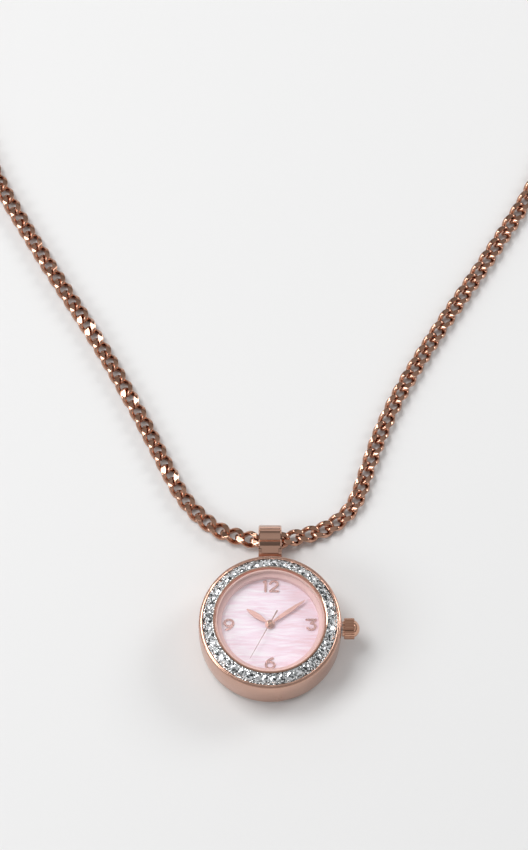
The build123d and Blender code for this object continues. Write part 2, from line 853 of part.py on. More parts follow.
with BuildPart() as train_bridge:
    rod(bridge_radius, bridge_bottom, bridge_top, bridge_centre)
    rod(battery_radius + battery_clearance, 0, plate_top, battery_centre, mode=Mode.SUBTRACT)
    for place in bridge_pillars:
        rod(screw_radius + seat_gap, 0, plate_top, place, mode=Mode.SUBTRACT)
    for axis in ((0, 0), third_axis, step_axis, rotor_axis):
        rod(pivot_radius + running_gap, 0, plate_top, axis, mode=Mode.SUBTRACT)
train_bridge.part.label = "train_bridge"

with BuildPart() as movement_holder:
    rod(plate_radius + running_gap + holder_wall, holder_bottom, holder_top)
    rod(plate_radius + running_gap, 0, plate_top + overrun, mode=Mode.SUBTRACT)
    with BuildSketch(Plane.YZ):
        with Locations((0, stem_height)):
            Circle(tube_radius + 2 * running_gap)
    extrude(amount=case_radius, mode=Mode.SUBTRACT)
movement_holder.part.label = "movement_holder"

# Motor


def limb(start, end, width):
    """Add a straight limb with round ends between two points of the open sketch."""
    run = Vector(*end) - Vector(*start)
    with Locations(((start[0] + end[0]) / 2, (start[1] + end[1]) / 2)):
        SlotCenterToCenter(run.length, width, rotation=math.degrees(math.atan2(run.Y, run.X)))


core_bottom = coil_axis_height - coil_core_thickness / 2
stator_top = core_bottom - seat_gap
stator_bottom = stator_top - stator_thickness
elbow_height = coil_centre[1] - coil_radius - stator_width

with BuildPart() as stator:
    with BuildSketch(Plane.XY.offset(stator_bottom)):
        with Locations(rotor_axis):
            Circle(stator_eye_radius)
        for end in core_ends:
            elbow = (end[0], elbow_height)
            limb(end, elbow, stator_width)
            limb(elbow, rotor_axis, stator_width)
        with Locations(rotor_axis):
            Circle(stator_bore_radius, mode=Mode.SUBTRACT)
        with Locations(*core_ends):
            Circle(screw_radius + seat_gap, mode=Mode.SUBTRACT)
    extrude(amount=stator_thickness)
stator.part.label = "stator"

with BuildPart() as coil_core:
    with BuildSketch(Plane.XY.offset(core_bottom)):
        limb(core_ends[0], core_ends[1], coil_core_width)
        with Locations(*core_ends):
            Circle(screw_radius + seat_gap, mode=Mode.SUBTRACT)
    extrude(amount=coil_core_thickness)
coil_core.part.label = "coil_core"

coil_start = Plane(
    origin=(coil_centre[0] - coil_length / 2, coil_centre[1], coil_axis_height),
    x_dir=(0, 1, 0),
    z_dir=(1, 0, 0),
)

with BuildPart() as coil_winding:
    with BuildSketch(coil_start):
        Circle(coil_radius)
        Rectangle(
            coil_core_width + 2 * seat_gap, coil_core_thickness + 2 * seat_gap, mode=Mode.SUBTRACT
        )
    extrude(amount=coil_length)
coil_winding.part.label = "coil_winding"

# Electronics

with BuildPart() as circuit_board:
    rod(plate_radius - overrun / 4, board_bottom, board_top)
    rod(battery_radius + battery_clearance, 0, plate_top, battery_centre, mode=Mode.SUBTRACT)
    rod(bridge_radius + battery_clearance, 0, plate_top, bridge_centre, mode=Mode.SUBTRACT)
    with BuildSketch(Plane.XY.offset(board_bottom)):
        with Locations((coil_centre[0], plate_radius)):
            Rectangle(coil_length + 2 * coil_core_overhang + stator_width, board_motor_depth)
        with Locations((bridge_centre[0] - plate_radius, 0)):
            Rectangle(2 * plate_radius, 2 * plate_radius)
    extrude(amount=board_thickness, mode=Mode.SUBTRACT)
    for place in board_pillars:
        rod(screw_radius + seat_gap, 0, plate_top, place, mode=Mode.SUBTRACT)
circuit_board.part.label = "circuit_board"

with BuildPart() as quartz_can:
    with BuildSketch(
        Plane(
            origin=(quartz_centre[0], quartz_centre[1] - quartz_length / 2, board_bottom - quartz_radius - seat_gap),
            x_dir=(1, 0, 0),
            z_dir=(0, 1, 0),
        )
    ):
        Circle(quartz_radius)
    extrude(amount=quartz_length)
    fillet(quartz_can.edges().filter_by(GeomType.CIRCLE), quartz_radius / 4)
quartz_can.part.label = "quartz_can"

with BuildPart() as chip:
    with Locations((chip_centre[0], chip_centre[1], board_bottom - seat_gap)):
        Box(*chip_size, align=(Align.CENTER, Align.CENTER, Align.MAX))
    chamfer(chip.edges().filter_by(Axis.Z), chip_size[2] / 4)
chip.part.label = "chip"

insulator_top = plate_bottom - seat_gap
insulator_bottom = insulator_top - insulator_thickness
battery_top = insulator_bottom - seat_gap
battery_bottom = battery_top - battery_height
strap_top = battery_bottom - seat_gap
strap_bottom = strap_top - strap_thickness

with BuildPart() as battery_insulator:
    rod(battery_radius, insulator_bottom, insulator_top, battery_centre)
battery_insulator.part.label = "battery_insulator"

with BuildPart() as battery:
    rod(battery_cap_radius, battery_top - battery_step, battery_top, battery_centre)
    rod(battery_radius, battery_bottom, battery_top - battery_step, battery_centre)
    fillet(battery.faces().sort_by(Axis.Z)[0].edges(), battery_step / 2)
battery.part.label = "battery"

with BuildPart() as battery_strap:
    with BuildSketch(Plane.XY.offset(strap_bottom)):
        limb(battery_centre, strap_end, strap_width)
    extrude(amount=strap_thickness)
    rod(strap_width / 2, strap_bottom, board_bottom - seat_gap, strap_end)
battery_strap.part.label = "battery_strap"


def screw(place, seat):
    """Add a slotted screw whose head hangs below its seat at a place on the movement."""
    rod(screw_radius - seat_gap, seat - seat_gap, seat + screw_length, place)
    rod(screw_head_radius, seat - seat_gap - screw_head_height, seat - seat_gap, place)
    with BuildSketch(Plane.XY.offset(seat - seat_gap - screw_head_height)) as slot:
        with Locations(place):
            Rectangle(2 * screw_head_radius, screw_slot_width)
    extrude(slot.sketch, amount=screw_head_height / 3, mode=Mode.SUBTRACT)


with BuildPart() as movement_screws:
    for place in bridge_pillars:
        screw(place, bridge_bottom)
    for place in board_pillars:
        screw(place, board_bottom)
    for place in core_ends:
        screw(place, stator_bottom)
movement_screws.part.label = "movement_screws"

# Crown, tube, gasket and stem

crown_plane = Plane(origin=(0, 0, stem_height), x_dir=(1, 0, 0), z_dir=(0, -1, 0))
crown_axis = Axis((0, 0, stem_height), (1, 0, 0))
crown_start = case_radius + case_bulge + crown_case_gap
crown_knurl_start = crown_start + crown_flange_length
crown_knurl_end = crown_knurl_start + crown_knurl_length
crown_end = crown_knurl_end + crown_dome_length
tube_start = case_radius - tube_inside_length
tube_end = crown_start + tube_outside_length
cavity_end = crown_start + crown_cavity_depth
crown_dome_sphere = (crown_dome_radius**2 + crown_dome_length**2) / (2 * crown_dome_length)
crown_dome_turn = math.degrees(math.asin(crown_dome_radius / crown_dome_sphere))
crown_dome_middle = polar(crown_dome_sphere, crown_dome_turn / 2, (crown_end - crown_dome_sphere, 0))


def turned_on_stem(outline):
    """Revolve a closed outline of (distance, radius) points about the stem's axis."""
    with BuildSketch(crown_plane) as half:
        with BuildLine():
            Polyline(*outline, close=True)
        make_face()
    revolve(half.sketch, axis=crown_axis)


with BuildPart() as crown_tube:
    turned_on_stem(
        (
            (tube_start, tube_bore_radius),
            (tube_end, tube_bore_radius),
            (tube_end, tube_radius),
            (tube_start, tube_radius),
        )
    )
crown_tube.part.label = "crown_tube"

with BuildPart() as crown:
    with BuildSketch(crown_plane):
        with BuildLine():
            Polyline(
                (crown_end, 0),
                (cavity_end + stem_hub_depth, 0),
                (cavity_end + stem_hub_depth, stem_radius + seat_gap),
                (cavity_end, stem_radius + seat_gap),
                (cavity_end, crown_cavity_radius),
                (crown_start, crown_cavity_radius),
                (crown_start, crown_flange_radius),
                (crown_knurl_start, crown_flange_radius),
                (crown_knurl_start, crown_radius - crown_edge_bevel),
                (crown_knurl_start + crown_edge_bevel, crown_radius),
                (crown_knurl_end - crown_edge_bevel, crown_radius),
                (crown_knurl_end, crown_radius - crown_edge_bevel),
                (crown_knurl_end, crown_dome_radius),
            )
            ThreePointArc(
                (crown_knurl_end, crown_dome_radius),
                crown_dome_middle,
                (crown_end, 0),
            )
        make_face()
    revolve(axis=crown_axis)
    with BuildSketch(Plane.YZ.offset(crown_knurl_start)):
        with Locations((0, stem_height)):
            with PolarLocations(crown_radius, crown_flutes, start_angle=180 / crown_flutes):
                Circle(crown_flute_radius)
    extrude(amount=crown_knurl_length, mode=Mode.SUBTRACT)
crown.part.label = "crown"

gasket_start = crown_start + crown_case_gap

with BuildPart() as crown_gasket:
    turned_on_stem(
        (
            (gasket_start, tube_radius + running_gap),
            (gasket_start + crown_gasket_length, tube_radius + running_gap),
            (gasket_start + crown_gasket_length, crown_cavity_radius - running_gap),
            (gasket_start, crown_cavity_radius - running_gap),
        )
    )
crown_gasket.part.label = "crown_gasket"

stem_end = cavity_end + stem_hub_depth - seat_gap
square_end = stem_tip_x + stem_square_length
groove_start = stem_groove_x - stem_groove_length / 2
groove_end = stem_groove_x + stem_groove_length / 2

with BuildPart() as stem:
    turned_on_stem(
        (
            (square_end, 0),
            (stem_end, 0),
            (stem_end, stem_radius),
            (groove_end, stem_radius),
            (groove_end, stem_groove_radius),
            (groove_start, stem_groove_radius),
            (groove_start, stem_radius),
            (square_end, stem_radius),
        )
    )
    with BuildSketch(Plane.YZ.offset(stem_tip_x)):
        with Locations((0, stem_height)):
            Rectangle(stem_square, stem_square)
    extrude(amount=stem_square_length)
stem.part.label = "stem"

# Hand setting parts around the stem

pinion_start = sliding_pinion_x - sliding_pinion_length / 2
pinion_end = sliding_pinion_x + sliding_pinion_length / 2
pinion_groove_start = sliding_pinion_x - sliding_pinion_groove / 2
pinion_groove_end = sliding_pinion_x + sliding_pinion_groove / 2

with BuildPart() as sliding_pinion:
    turned_on_stem(
        (
            (pinion_start, 0),
            (pinion_end, 0),
            (pinion_end, sliding_pinion_radius),
            (pinion_groove_end, sliding_pinion_radius),
            (pinion_groove_end, stem_radius + running_gap),
            (pinion_groove_start, stem_radius + running_gap),
            (pinion_groove_start, sliding_pinion_radius),
            (pinion_start, sliding_pinion_radius),
        )
    )
    with BuildSketch(Plane.YZ.offset(pinion_start)):
        with Locations((0, stem_height)):
            Rectangle(stem_square + 2 * running_gap, stem_square + 2 * running_gap)
    extrude(amount=sliding_pinion_length, mode=Mode.SUBTRACT)
sliding_pinion.part.label = "sliding_pinion"

yoke_top = stem_height - stem_radius - 3 * running_gap
yoke_slot_width = sliding_pinion_groove - 2 * running_gap

with BuildPart() as yoke:
    with BuildSketch(Plane.YZ.offset(sliding_pinion_x - yoke_slot_width / 2)):
        with Locations((-yoke_reach / 2, stem_height - sliding_pinion_radius)):
            Rectangle(yoke_reach, yoke_width)
        with Locations((0, stem_height)):
            Circle(stem_radius + 2 * running_gap, mode=Mode.SUBTRACT)
    extrude(amount=yoke_slot_width)
yoke.part.label = "yoke"

with BuildPart() as setting_lever:
    with BuildSketch(Plane.XY.offset(lever_bottom)):
        limb((stem_groove_x, 0), lever_pivot, 2 * lever_pivot_radius)
    extrude(amount=lever_thickness)
    rod(lever_post_radius, stem_height + stem_groove_radius + running_gap, lever_bottom, (stem_groove_x, 0))
    rod(pivot_radius + running_gap, 0, plate_top, lever_pivot, mode=Mode.SUBTRACT)
setting_lever.part.label = "setting_lever"

# Lug, bail and pin

lug_width = bail_width + 2 * seat_gap
ear_centre = lug_width / 2 - ear_thickness / 2
lug_plane = Plane(origin=(0, 0, 0), x_dir=(0, 1, 0), z_dir=(1, 0, 0))

with BuildPart() as case_lug:
    for side in (-1, 1):
        with BuildSketch(lug_plane.offset(side * ear_centre - ear_thickness / 2)):
            with Locations((pin_y, stem_height)):
                Circle(ear_radius)
            with Locations(((case_radius + pin_y) / 2 - ear_radius / 2, stem_height)):
                Rectangle(pin_y - case_radius + ear_radius, ear_neck)
        extrude(amount=ear_thickness)
    with BuildSketch(lug_plane.offset(-lug_width / 2)):
        with Locations((case_radius, stem_height)):
            Rectangle(ear_radius, 2 * ear_radius)
    extrude(amount=lug_width)
    rod(case_radius + case_bulge + seat_gap, 0, case_rim_height, mode=Mode.SUBTRACT)
    with BuildSketch(lug_plane.offset(-lug_width / 2)):
        with Locations((pin_y, stem_height)):
            Circle(pin_radius + seat_gap)
    extrude(amount=lug_width, mode=Mode.SUBTRACT)
case_lug.part.label = "case_lug"

with BuildPart() as bail_pin:
    with BuildSketch(lug_plane.offset(-lug_width / 2)):
        with Locations((pin_y, stem_height)):
            Circle(pin_radius)
    extrude(amount=lug_width)
bail_pin.part.label = "bail_pin"

droop = math.radians(bail_droop)
bail_plane = Plane(
    origin=(-bail_width / 2, pin_y, stem_height),
    x_dir=(0, math.cos(droop), -math.sin(droop)),
    z_dir=(1, 0, 0),
)
knuckle_half = lug_width / 2 - ear_thickness - running_gap
throat_x = bail_knuckle_radius + bail_wall + bail_throat_radius

with BuildPart() as bail:
    with BuildSketch(bail_plane):
        Circle(bail_knuckle_radius)
        with Locations((bail_reach, 0)):
            Circle(bail_eye_radius)
        make_hull()
    extrude(amount=bail_width)
    chamfer(bail.faces().filter_by(Axis.X).edges(), bail_bevel)
    with BuildSketch(bail_plane.offset(-overrun)) as bail_opening:
        with Locations((throat_x, 0)):
            Circle(bail_throat_radius)
        with Locations((bail_reach, 0)):
            Circle(bail_eye_radius - bail_wall)
        make_hull()
    extrude(amount=bail_width + 2 * overrun, mode=Mode.SUBTRACT)
    for start, length in (
        (-overrun, overrun + bail_width / 2 - knuckle_half),
        (bail_width / 2 + knuckle_half, overrun + bail_width / 2 - knuckle_half),
    ):
        with BuildSketch(bail_plane.offset(start)):
            Circle(ear_radius + 2 * running_gap)
        extrude(amount=length, mode=Mode.SUBTRACT)
    with BuildSketch(bail_plane.offset(-overrun)):
        Circle(pin_radius + running_gap)
    extrude(amount=bail_width + 2 * overrun, mode=Mode.SUBTRACT)
bail.part.label = "bail"

# Chain links

wire_radius = wire_diameter / 2
link_bow = (link_width - wire_diameter) / 2
link_half = (link_length - wire_diameter) / 2 - link_bow
lean = math.radians(link_lean)

with BuildPart() as link:
    for end in (1, -1):
        bow_start, bow_end = [
            (end * link_half, side * link_bow * math.cos(lean), side * end * link_bow * math.sin(lean))
            for side in (1, -1)
        ]
        with BuildLine():
            ThreePointArc(bow_start, (end * (link_half + link_bow), 0, 0), bow_end)
        with BuildSketch(Plane(origin=bow_start, z_dir=(end, 0, 0))):
            Circle(wire_radius)
        sweep()
    for side in (1, -1):
        start = (-link_half, side * link_bow * math.cos(lean), -side * link_bow * math.sin(lean))
        finish = (link_half, side * link_bow * math.cos(lean), side * link_bow * math.sin(lean))
        run = Vector(*finish) - Vector(*start)
        with BuildSketch(Plane(origin=start, z_dir=run)):
            Circle(wire_radius)
        extrude(amount=run.length)
        with Locations(start, finish):
            Sphere(wire_radius)
    split(bisect_by=Plane.XY.offset(link_flat_height), keep=Keep.BOTTOM)
    split(bisect_by=Plane.XY.offset(-link_flat_height), keep=Keep.TOP)


ring_reach = link_length / 2 - wire_diameter - ring_wire_radius - link_play


def route_line(points):
    """Straight runs through the points, joined by the largest tangent arcs that they allow."""
    steps = [Vector(*end) - Vector(*start) for start, end in zip(points, points[1:])]
    radii = []
    for before, after in zip(steps, steps[1:]):
        half_turn = math.radians(before.get_angle(after)) / 2
        radii.append(route_turn_share * min(before.length, after.length) / math.tan(half_turn))
    print("chain turn radii, mm:", " ".join(f"{radius:.1f}" for radius in radii))
    with BuildLine() as line:
        FilletPolyline(*points, radius=radii)
    return line.wires()[0]


def station(line, distance):
    """Frame at a distance along a route: x along it, z as near upright as it can be."""
    share = min(max(distance / line.length, 0), 1)
    place = line.position_at(share)
    heading = line.tangent_at(share)
    return Plane(origin=place, x_dir=heading, z_dir=heading.cross(Vector(0, 0, 1).cross(heading)))


def link_spacing(line, ring_radius):
    """Spacing of the links, at most a pitch, that ends a route at the middle of its ring."""
    usable = line.length - ring_reach - ring_radius
    return usable / (math.ceil(usable / link_pitch + 1 / 2) - 1 / 2)


def links_along(line, ring_radius):
    """Copies of the link along a route, the first half a spacing from its start."""
    spacing = link_spacing(line, ring_radius)
    count = round((line.length - ring_reach - ring_radius) / spacing + 1 / 2)
    return [link.part.moved(station(line, (index + 1 / 2) * spacing).location) for index in range(count)]


left_line = route_line(left_route)
right_line = route_line(right_route)
chain_left = Compound(label="chain_left", children=links_along(left_line, clasp_ring_radius))
chain_right = Compound(label="chain_right", children=links_along(right_line, end_ring_radius))
print("chain strands, mm:", round(left_line.length, 1), round(right_line.length, 1))
print("links:", len(chain_left.children), len(chain_right.children))

# Rings and clasp


def leaning_ring(plane, radius):
    """Add a ring of round wire that leans against the last link's bow."""
    with BuildSketch(Plane(origin=plane.origin + plane.x_dir * radius, z_dir=plane.y_dir)) as section:
        Circle(ring_wire_radius)
    ring_axis = Axis(plane.origin, plane.z_dir)
    revolve(section.sketch, axis=ring_axis)


def ring_plane(line):
    """Plane of the ring at the end of a route, which leans as the next link would."""
    last = station(line, line.length)
    return Plane(
        origin=last.origin, x_dir=last.x_dir, z_dir=last.z_dir * math.cos(lean) + last.y_dir * math.sin(lean)
    )


clasp_ring_plane = ring_plane(left_line)
end_ring_plane = ring_plane(right_line)

with BuildPart() as clasp_ring:
    leaning_ring(clasp_ring_plane, clasp_ring_radius)
clasp_ring.part.label = "clasp_ring"

with BuildPart() as end_ring:
    leaning_ring(end_ring_plane, end_ring_radius)
end_ring.part.label = "end_ring"

# The clasp's own frame: x runs from its eye to its hook, and its origin is level with the hook's centre.
hook_hold = clasp_hook_bore - ring_wire_radius - clasp_hook_offset - running_gap
eye_place = clasp_ring_plane.origin + clasp_ring_plane.x_dir * (clasp_ring_radius + 2 * running_gap)
hook_place = end_ring_plane.origin + end_ring_plane.x_dir * (end_ring_radius + hook_hold)
clasp_run = hook_place - eye_place
clasp_plane = Plane(origin=hook_place, x_dir=clasp_run, z_dir=(0, 0, 1))
eye_x = -clasp_run.length
print("clasp, eye to hook, mm:", round(clasp_run.length, 2))

gate_tip = polar((clasp_hook_radius + clasp_hook_bore) / 2, clasp_gate_start + clasp_gate_lap, (0, clasp_hook_offset))


def swung(place, turn):
    """Where a point of the trigger is once it has turned about its rivet."""
    arm = Vector(*place) - Vector(*clasp_pivot)
    return tuple(Vector(*clasp_pivot) + arm.rotate(Axis.Z, turn))[:2]


with BuildPart() as clasp_body:
    with BuildSketch(clasp_plane.offset(-clasp_thickness / 2)):
        with Locations((0, clasp_hook_offset)):
            Circle(clasp_hook_radius)
        with Locations((eye_x + clasp_eye_radius + clasp_shoulder / 2, 0)):
            Circle(clasp_shoulder)
        make_hull()
        with Locations((0, clasp_hook_offset)):
            Circle(clasp_hook_bore, mode=Mode.SUBTRACT)
    extrude(amount=clasp_thickness)
    with BuildSketch(clasp_plane.offset(-clasp_eye_thickness / 2)):
        with Locations((eye_x, 0)):
            Circle(clasp_eye_radius)
        with Locations((eye_x + clasp_eye_radius, 0)):
            Rectangle(clasp_eye_radius, clasp_eye_radius)
        with Locations((eye_x, 0)):
            Circle(clasp_eye_bore, mode=Mode.SUBTRACT)
    extrude(amount=clasp_eye_thickness)
    with BuildSketch(clasp_plane.offset(-clasp_thickness)):
        with Locations((0, clasp_hook_offset)):
            Polygon(
                (0, 0),
                polar(2 * clasp_hook_radius, clasp_gate_start),
                polar(2 * clasp_hook_radius, clasp_gate_end),
            )
        with Locations((0, clasp_hook_offset)):
            Circle(clasp_hook_bore, mode=Mode.SUBTRACT)
    extrude(amount=2 * clasp_thickness, mode=Mode.SUBTRACT)
    for place, radius in (
        (gate_tip, clasp_gate_tip_radius + clasp_gate_gap),
        (clasp_tab, clasp_tab_radius + 4 * clasp_gate_gap),
    ):
        with BuildSketch(clasp_plane.offset(-clasp_gate_thickness / 2 - clasp_gate_gap)):
            with Locations(clasp_pivot):
                Circle(clasp_gate_root_radius + 5 * clasp_gate_gap)
            with Locations(*[swung(place, -clasp_gate_swing * step / 2) for step in range(3)]):
                Circle(radius)
            make_hull()
        extrude(amount=clasp_gate_thickness + 2 * clasp_gate_gap, mode=Mode.SUBTRACT)
    with BuildSketch(clasp_plane.offset(-clasp_thickness)):
        with Locations(clasp_pivot):
            Circle(clasp_pivot_radius + seat_gap)
    extrude(amount=2 * clasp_thickness, mode=Mode.SUBTRACT)
clasp_body.part.label = "clasp_body"

with BuildPart() as clasp_trigger:
    with BuildSketch(clasp_plane.offset(-clasp_gate_thickness / 2)):
        with Locations(clasp_pivot):
            Circle(clasp_gate_root_radius)
        with Locations(gate_tip):
            Circle(clasp_gate_tip_radius)
        make_hull()
        limb(clasp_pivot, clasp_tab, 2 * clasp_tab_radius)
        with Locations(clasp_pivot):
            Circle(clasp_pivot_radius + running_gap, mode=Mode.SUBTRACT)
    extrude(amount=clasp_gate_thickness)
clasp_trigger.part.label = "clasp_trigger"

with BuildPart() as clasp_rivet:
    with BuildSketch(clasp_plane.offset(-clasp_thickness / 2)):
        with Locations(clasp_pivot):
            Circle(clasp_pivot_radius)
    extrude(amount=clasp_thickness)
clasp_rivet.part.label = "clasp_rivet"

tail = (Vector(*clasp_tab) - Vector(*clasp_pivot)).normalized()
tail_side = Vector(-tail.Y, tail.X)
spring_root = Vector(*clasp_pivot) + tail_side * (clasp_gate_root_radius + clasp_spring_wire)
spring_tip = Vector(*clasp_tab) + tail_side * (clasp_tab_radius + clasp_spring_wire)
spring_knee = (spring_root + spring_tip) / 2 + tail_side * clasp_spring_wire

with BuildPart() as clasp_spring:
    with BuildSketch(clasp_plane.offset(-clasp_gate_thickness / 4)):
        limb(tuple(spring_root)[:2], tuple(spring_knee)[:2], clasp_spring_wire)
        limb(tuple(spring_knee)[:2], tuple(spring_tip)[:2], clasp_spring_wire)
    extrude(amount=clasp_gate_thickness / 2)
clasp_spring.part.label = "clasp_spring"

pieces = (
    case_body,
    case_back,
    case_back_gasket,
    bezel,
    stone_channel,
    glass,
    glass_gasket,
    rehaut,
    dial_plate,
    dial_pearl,
    dial_numerals,
    hour_hand,
    minute_hand,
    second_hand,
    cannon_pinion,
    hour_wheel,
    dial_washer,
    minute_wheel,
    setting_wheel,
    second_wheel,
    third_wheel,
    step_wheel,
    rotor,
    main_plate,
    train_bridge,
    movement_holder,
    stator,
    coil_core,
    coil_winding,
    circuit_board,
    quartz_can,
    chip,
    battery_insulator,
    battery,
    battery_strap,
    movement_screws,
    crown_tube,
    crown,
    crown_gasket,
    stem,
    sliding_pinion,
    yoke,
    setting_lever,
    case_lug,
    bail_pin,
    bail,
    clasp_ring,
    end_ring,
    clasp_body,
    clasp_trigger,
    clasp_rivet,
    clasp_spring,
)
for piece in pieces:
    export_step(piece.part, f"parts/{piece.part.label}.step")
for group in (bezel_stones, chain_left, chain_right):
    export_step(group, f"parts/{group.label}.step")
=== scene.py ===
"""Dresses a ladies' pendant watch and its flat curb chain for a plain studio picture.

Every length is in metres, in the frame of the model: the watch lies on its case back, dial up,
with 12 o'clock towards +Y and the crown towards +X.
"""
import logging
import math
from dataclasses import dataclass
from enum import Enum

import bmesh
import bpy
import numpy as np
from mathutils import Matrix, Vector


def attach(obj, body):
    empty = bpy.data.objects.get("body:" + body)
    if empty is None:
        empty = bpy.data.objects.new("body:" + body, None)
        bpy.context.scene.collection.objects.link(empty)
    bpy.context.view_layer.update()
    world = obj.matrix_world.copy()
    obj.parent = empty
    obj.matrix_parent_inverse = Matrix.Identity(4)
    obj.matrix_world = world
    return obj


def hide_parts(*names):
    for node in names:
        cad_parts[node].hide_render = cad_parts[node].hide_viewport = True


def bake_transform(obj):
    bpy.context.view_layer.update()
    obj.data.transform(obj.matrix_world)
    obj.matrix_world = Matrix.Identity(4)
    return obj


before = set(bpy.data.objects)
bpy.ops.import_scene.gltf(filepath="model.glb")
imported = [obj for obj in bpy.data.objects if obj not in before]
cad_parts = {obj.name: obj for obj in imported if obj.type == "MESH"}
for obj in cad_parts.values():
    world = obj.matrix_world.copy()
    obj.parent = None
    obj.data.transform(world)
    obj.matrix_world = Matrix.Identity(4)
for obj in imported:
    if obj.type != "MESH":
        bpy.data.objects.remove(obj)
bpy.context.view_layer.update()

log = logging.getLogger("pendant_watch")

MM = 0.001
Colour = tuple[float, float, float]
Triple = tuple[float, float, float]
Pair = tuple[float, float]
Looks = tuple[tuple[str, str], ...]


def grey(level: float) -> Colour:
    """Give the grey of that level."""
    return (level, level, level)


def opaque(colour: Colour) -> tuple[float, float, float, float]:
    """Give the colour with its alpha."""
    return (*colour, 1.0)


class NodeTree:
    """Short ways to add and join shader nodes in one node tree."""

    def __init__(self, tree: bpy.types.NodeTree) -> None:
        """Start on the tree that is to be filled."""
        self.tree = tree

    def add(self, kind: str, **settings: object) -> bpy.types.Node:
        """Add a node and set its properties.

        Args:
            kind: The node's type name.
            settings: Properties of the node by name.

        Returns:
            The new node.
        """
        node = self.tree.nodes.new(kind)
        for name, value in settings.items():
            setattr(node, name, value)
        return node

    def feed(self, slot: bpy.types.NodeSocket, value: object) -> None:
        """Link an input to a socket, or set it to a value.

        Args:
            slot: The input.
            value: The socket or the value.
        """
        if isinstance(value, bpy.types.NodeSocket):
            self.tree.links.new(value, slot)
        else:
            slot.default_value = value

    def fill(self, node: bpy.types.Node, **values: object) -> bpy.types.Node:
        """Feed a node's inputs by name.

        Args:
            node: The node.
            values: Sockets or values by input name, with underscores for spaces.

        Returns:
            The node.
        """
        for name, value in values.items():
            self.feed(node.inputs[name.replace("_", " ")], value)
        return node

    def placed(self, group: bpy.types.NodeTree, **values: object) -> bpy.types.Node:
        """Place a node group and feed its inputs.

        Args:
            group: The group to place.
            values: Sockets or values by input name, with underscores for spaces.

        Returns:
            The group's node.
        """
        return self.fill(self.add("ShaderNodeGroup", node_tree=group), **values)

    def where(self, kind: str = "Object") -> bpy.types.NodeSocket:
        """Give the texture coordinates of that kind."""
        return self.add("ShaderNodeTexCoord").outputs[kind]

    def split(self, vector: bpy.types.NodeSocket) -> list[bpy.types.NodeSocket]:
        """Give the X, Y and Z of a vector."""
        return list(self.fill(self.add("ShaderNodeSeparateXYZ"), Vector=vector).outputs)

    def maths(self, operation: str, first: object, second: object) -> bpy.types.NodeSocket:
        """Add a Math node.

        Args:
            operation: The node's operation.
            first: A socket or a number.
            second: A socket or a number.

        Returns:
            The node's output.
        """
        node = self.add("ShaderNodeMath", operation=operation)
        for slot, value in zip(node.inputs, (first, second)):
            self.feed(slot, value)
        return node.outputs[0]

    def vectors(
        self, operation: str, first: bpy.types.NodeSocket, second: object
    ) -> bpy.types.NodeSocket:
        """Add a Vector Math node.

        Args:
            operation: The node's operation.
            first: A vector.
            second: A socket or a value: the factor to scale by, or else a vector.

        Returns:
            The node's output.
        """
        node = self.add("ShaderNodeVectorMath", operation=operation)
        self.feed(node.inputs[0], first)
        self.feed(node.inputs["Scale" if operation == "SCALE" else 1], second)
        return node.outputs[0]

    def noise(
        self,
        vector: bpy.types.NodeSocket,
        scale: float = 1.0,
        detail: float = 2.0,
        output: int | str = 0,
    ) -> bpy.types.NodeSocket:
        """Add a noise texture.

        Args:
            vector: Where it is read.
            scale: Its scale.
            detail: Its detail.
            output: The output that is wanted, by place or name.

        Returns:
            The output.
        """
        node = self.add("ShaderNodeTexNoise")
        return self.fill(node, Vector=vector, Scale=scale, Detail=detail).outputs[output]

    def ramp(
        self,
        factor: bpy.types.NodeSocket,
        stops: tuple[tuple[float, Colour], ...],
        interpolation: str = "LINEAR",
    ) -> bpy.types.NodeSocket:
        """Add a colour ramp.

        Args:
            factor: Where it is read.
            stops: Position and colour of each stop, from the lowest to the highest.
            interpolation: How it runs from stop to stop.

        Returns:
            The ramp's colour.
        """
        node = self.add("ShaderNodeValToRGB")
        self.feed(node.inputs[0], factor)
        node.color_ramp.interpolation = interpolation
        for element, (position, colour) in zip(node.color_ramp.elements, (stops[0], stops[-1])):
            element.position = position
            element.color = opaque(colour)
        for position, colour in stops[1:-1]:
            node.color_ramp.elements.new(position).color = opaque(colour)
        return node.outputs["Color"]

    def mix(self, share: object, first: object, second: object) -> bpy.types.NodeSocket:
        """Mix two colours.

        Args:
            share: Share of the second one.
            first: A socket or a colour with its alpha.
            second: A socket or a colour with its alpha.

        Returns:
            The mixed colour.
        """
        node = self.add("ShaderNodeMix", data_type="RGBA")
        return self.fill(node, Factor=share, A=first, B=second).outputs["Result"]

    def bump(
        self,
        height: bpy.types.NodeSocket,
        depth: float,
        normal: bpy.types.NodeSocket | None = None,
    ) -> bpy.types.NodeSocket:
        """Add a bump at full strength.

        Args:
            height: The height.
            depth: What a height of one stands for.
            normal: The normal that it is laid on, where that isn't the surface's own.

        Returns:
            The bumped normal.
        """
        node = self.fill(self.add("ShaderNodeBump"), Height=height, Distance=depth)
        if normal:
            self.fill(node, Normal=normal)
        return node.outputs["Normal"]


def blank(name: str) -> tuple[bpy.types.Material, NodeTree, bpy.types.Node]:
    """Start a material.

    Args:
        name: The material's name.

    Returns:
        The material, its node tree and its Principled BSDF.
    """
    material = bpy.data.materials.new(name)
    material.use_nodes = True
    return material, NodeTree(material.node_tree), material.node_tree.nodes["Principled BSDF"]


def set_down(mesh: bpy.types.Mesh, material: bpy.types.Material) -> bpy.types.Object:
    """Put a mesh in the scene under its own name.

    Args:
        mesh: The mesh.
        material: Its material.

    Returns:
        The object.
    """
    mesh.materials.append(material)
    piece = bpy.data.objects.new(mesh.name, mesh)
    bpy.context.scene.collection.objects.link(piece)
    return piece


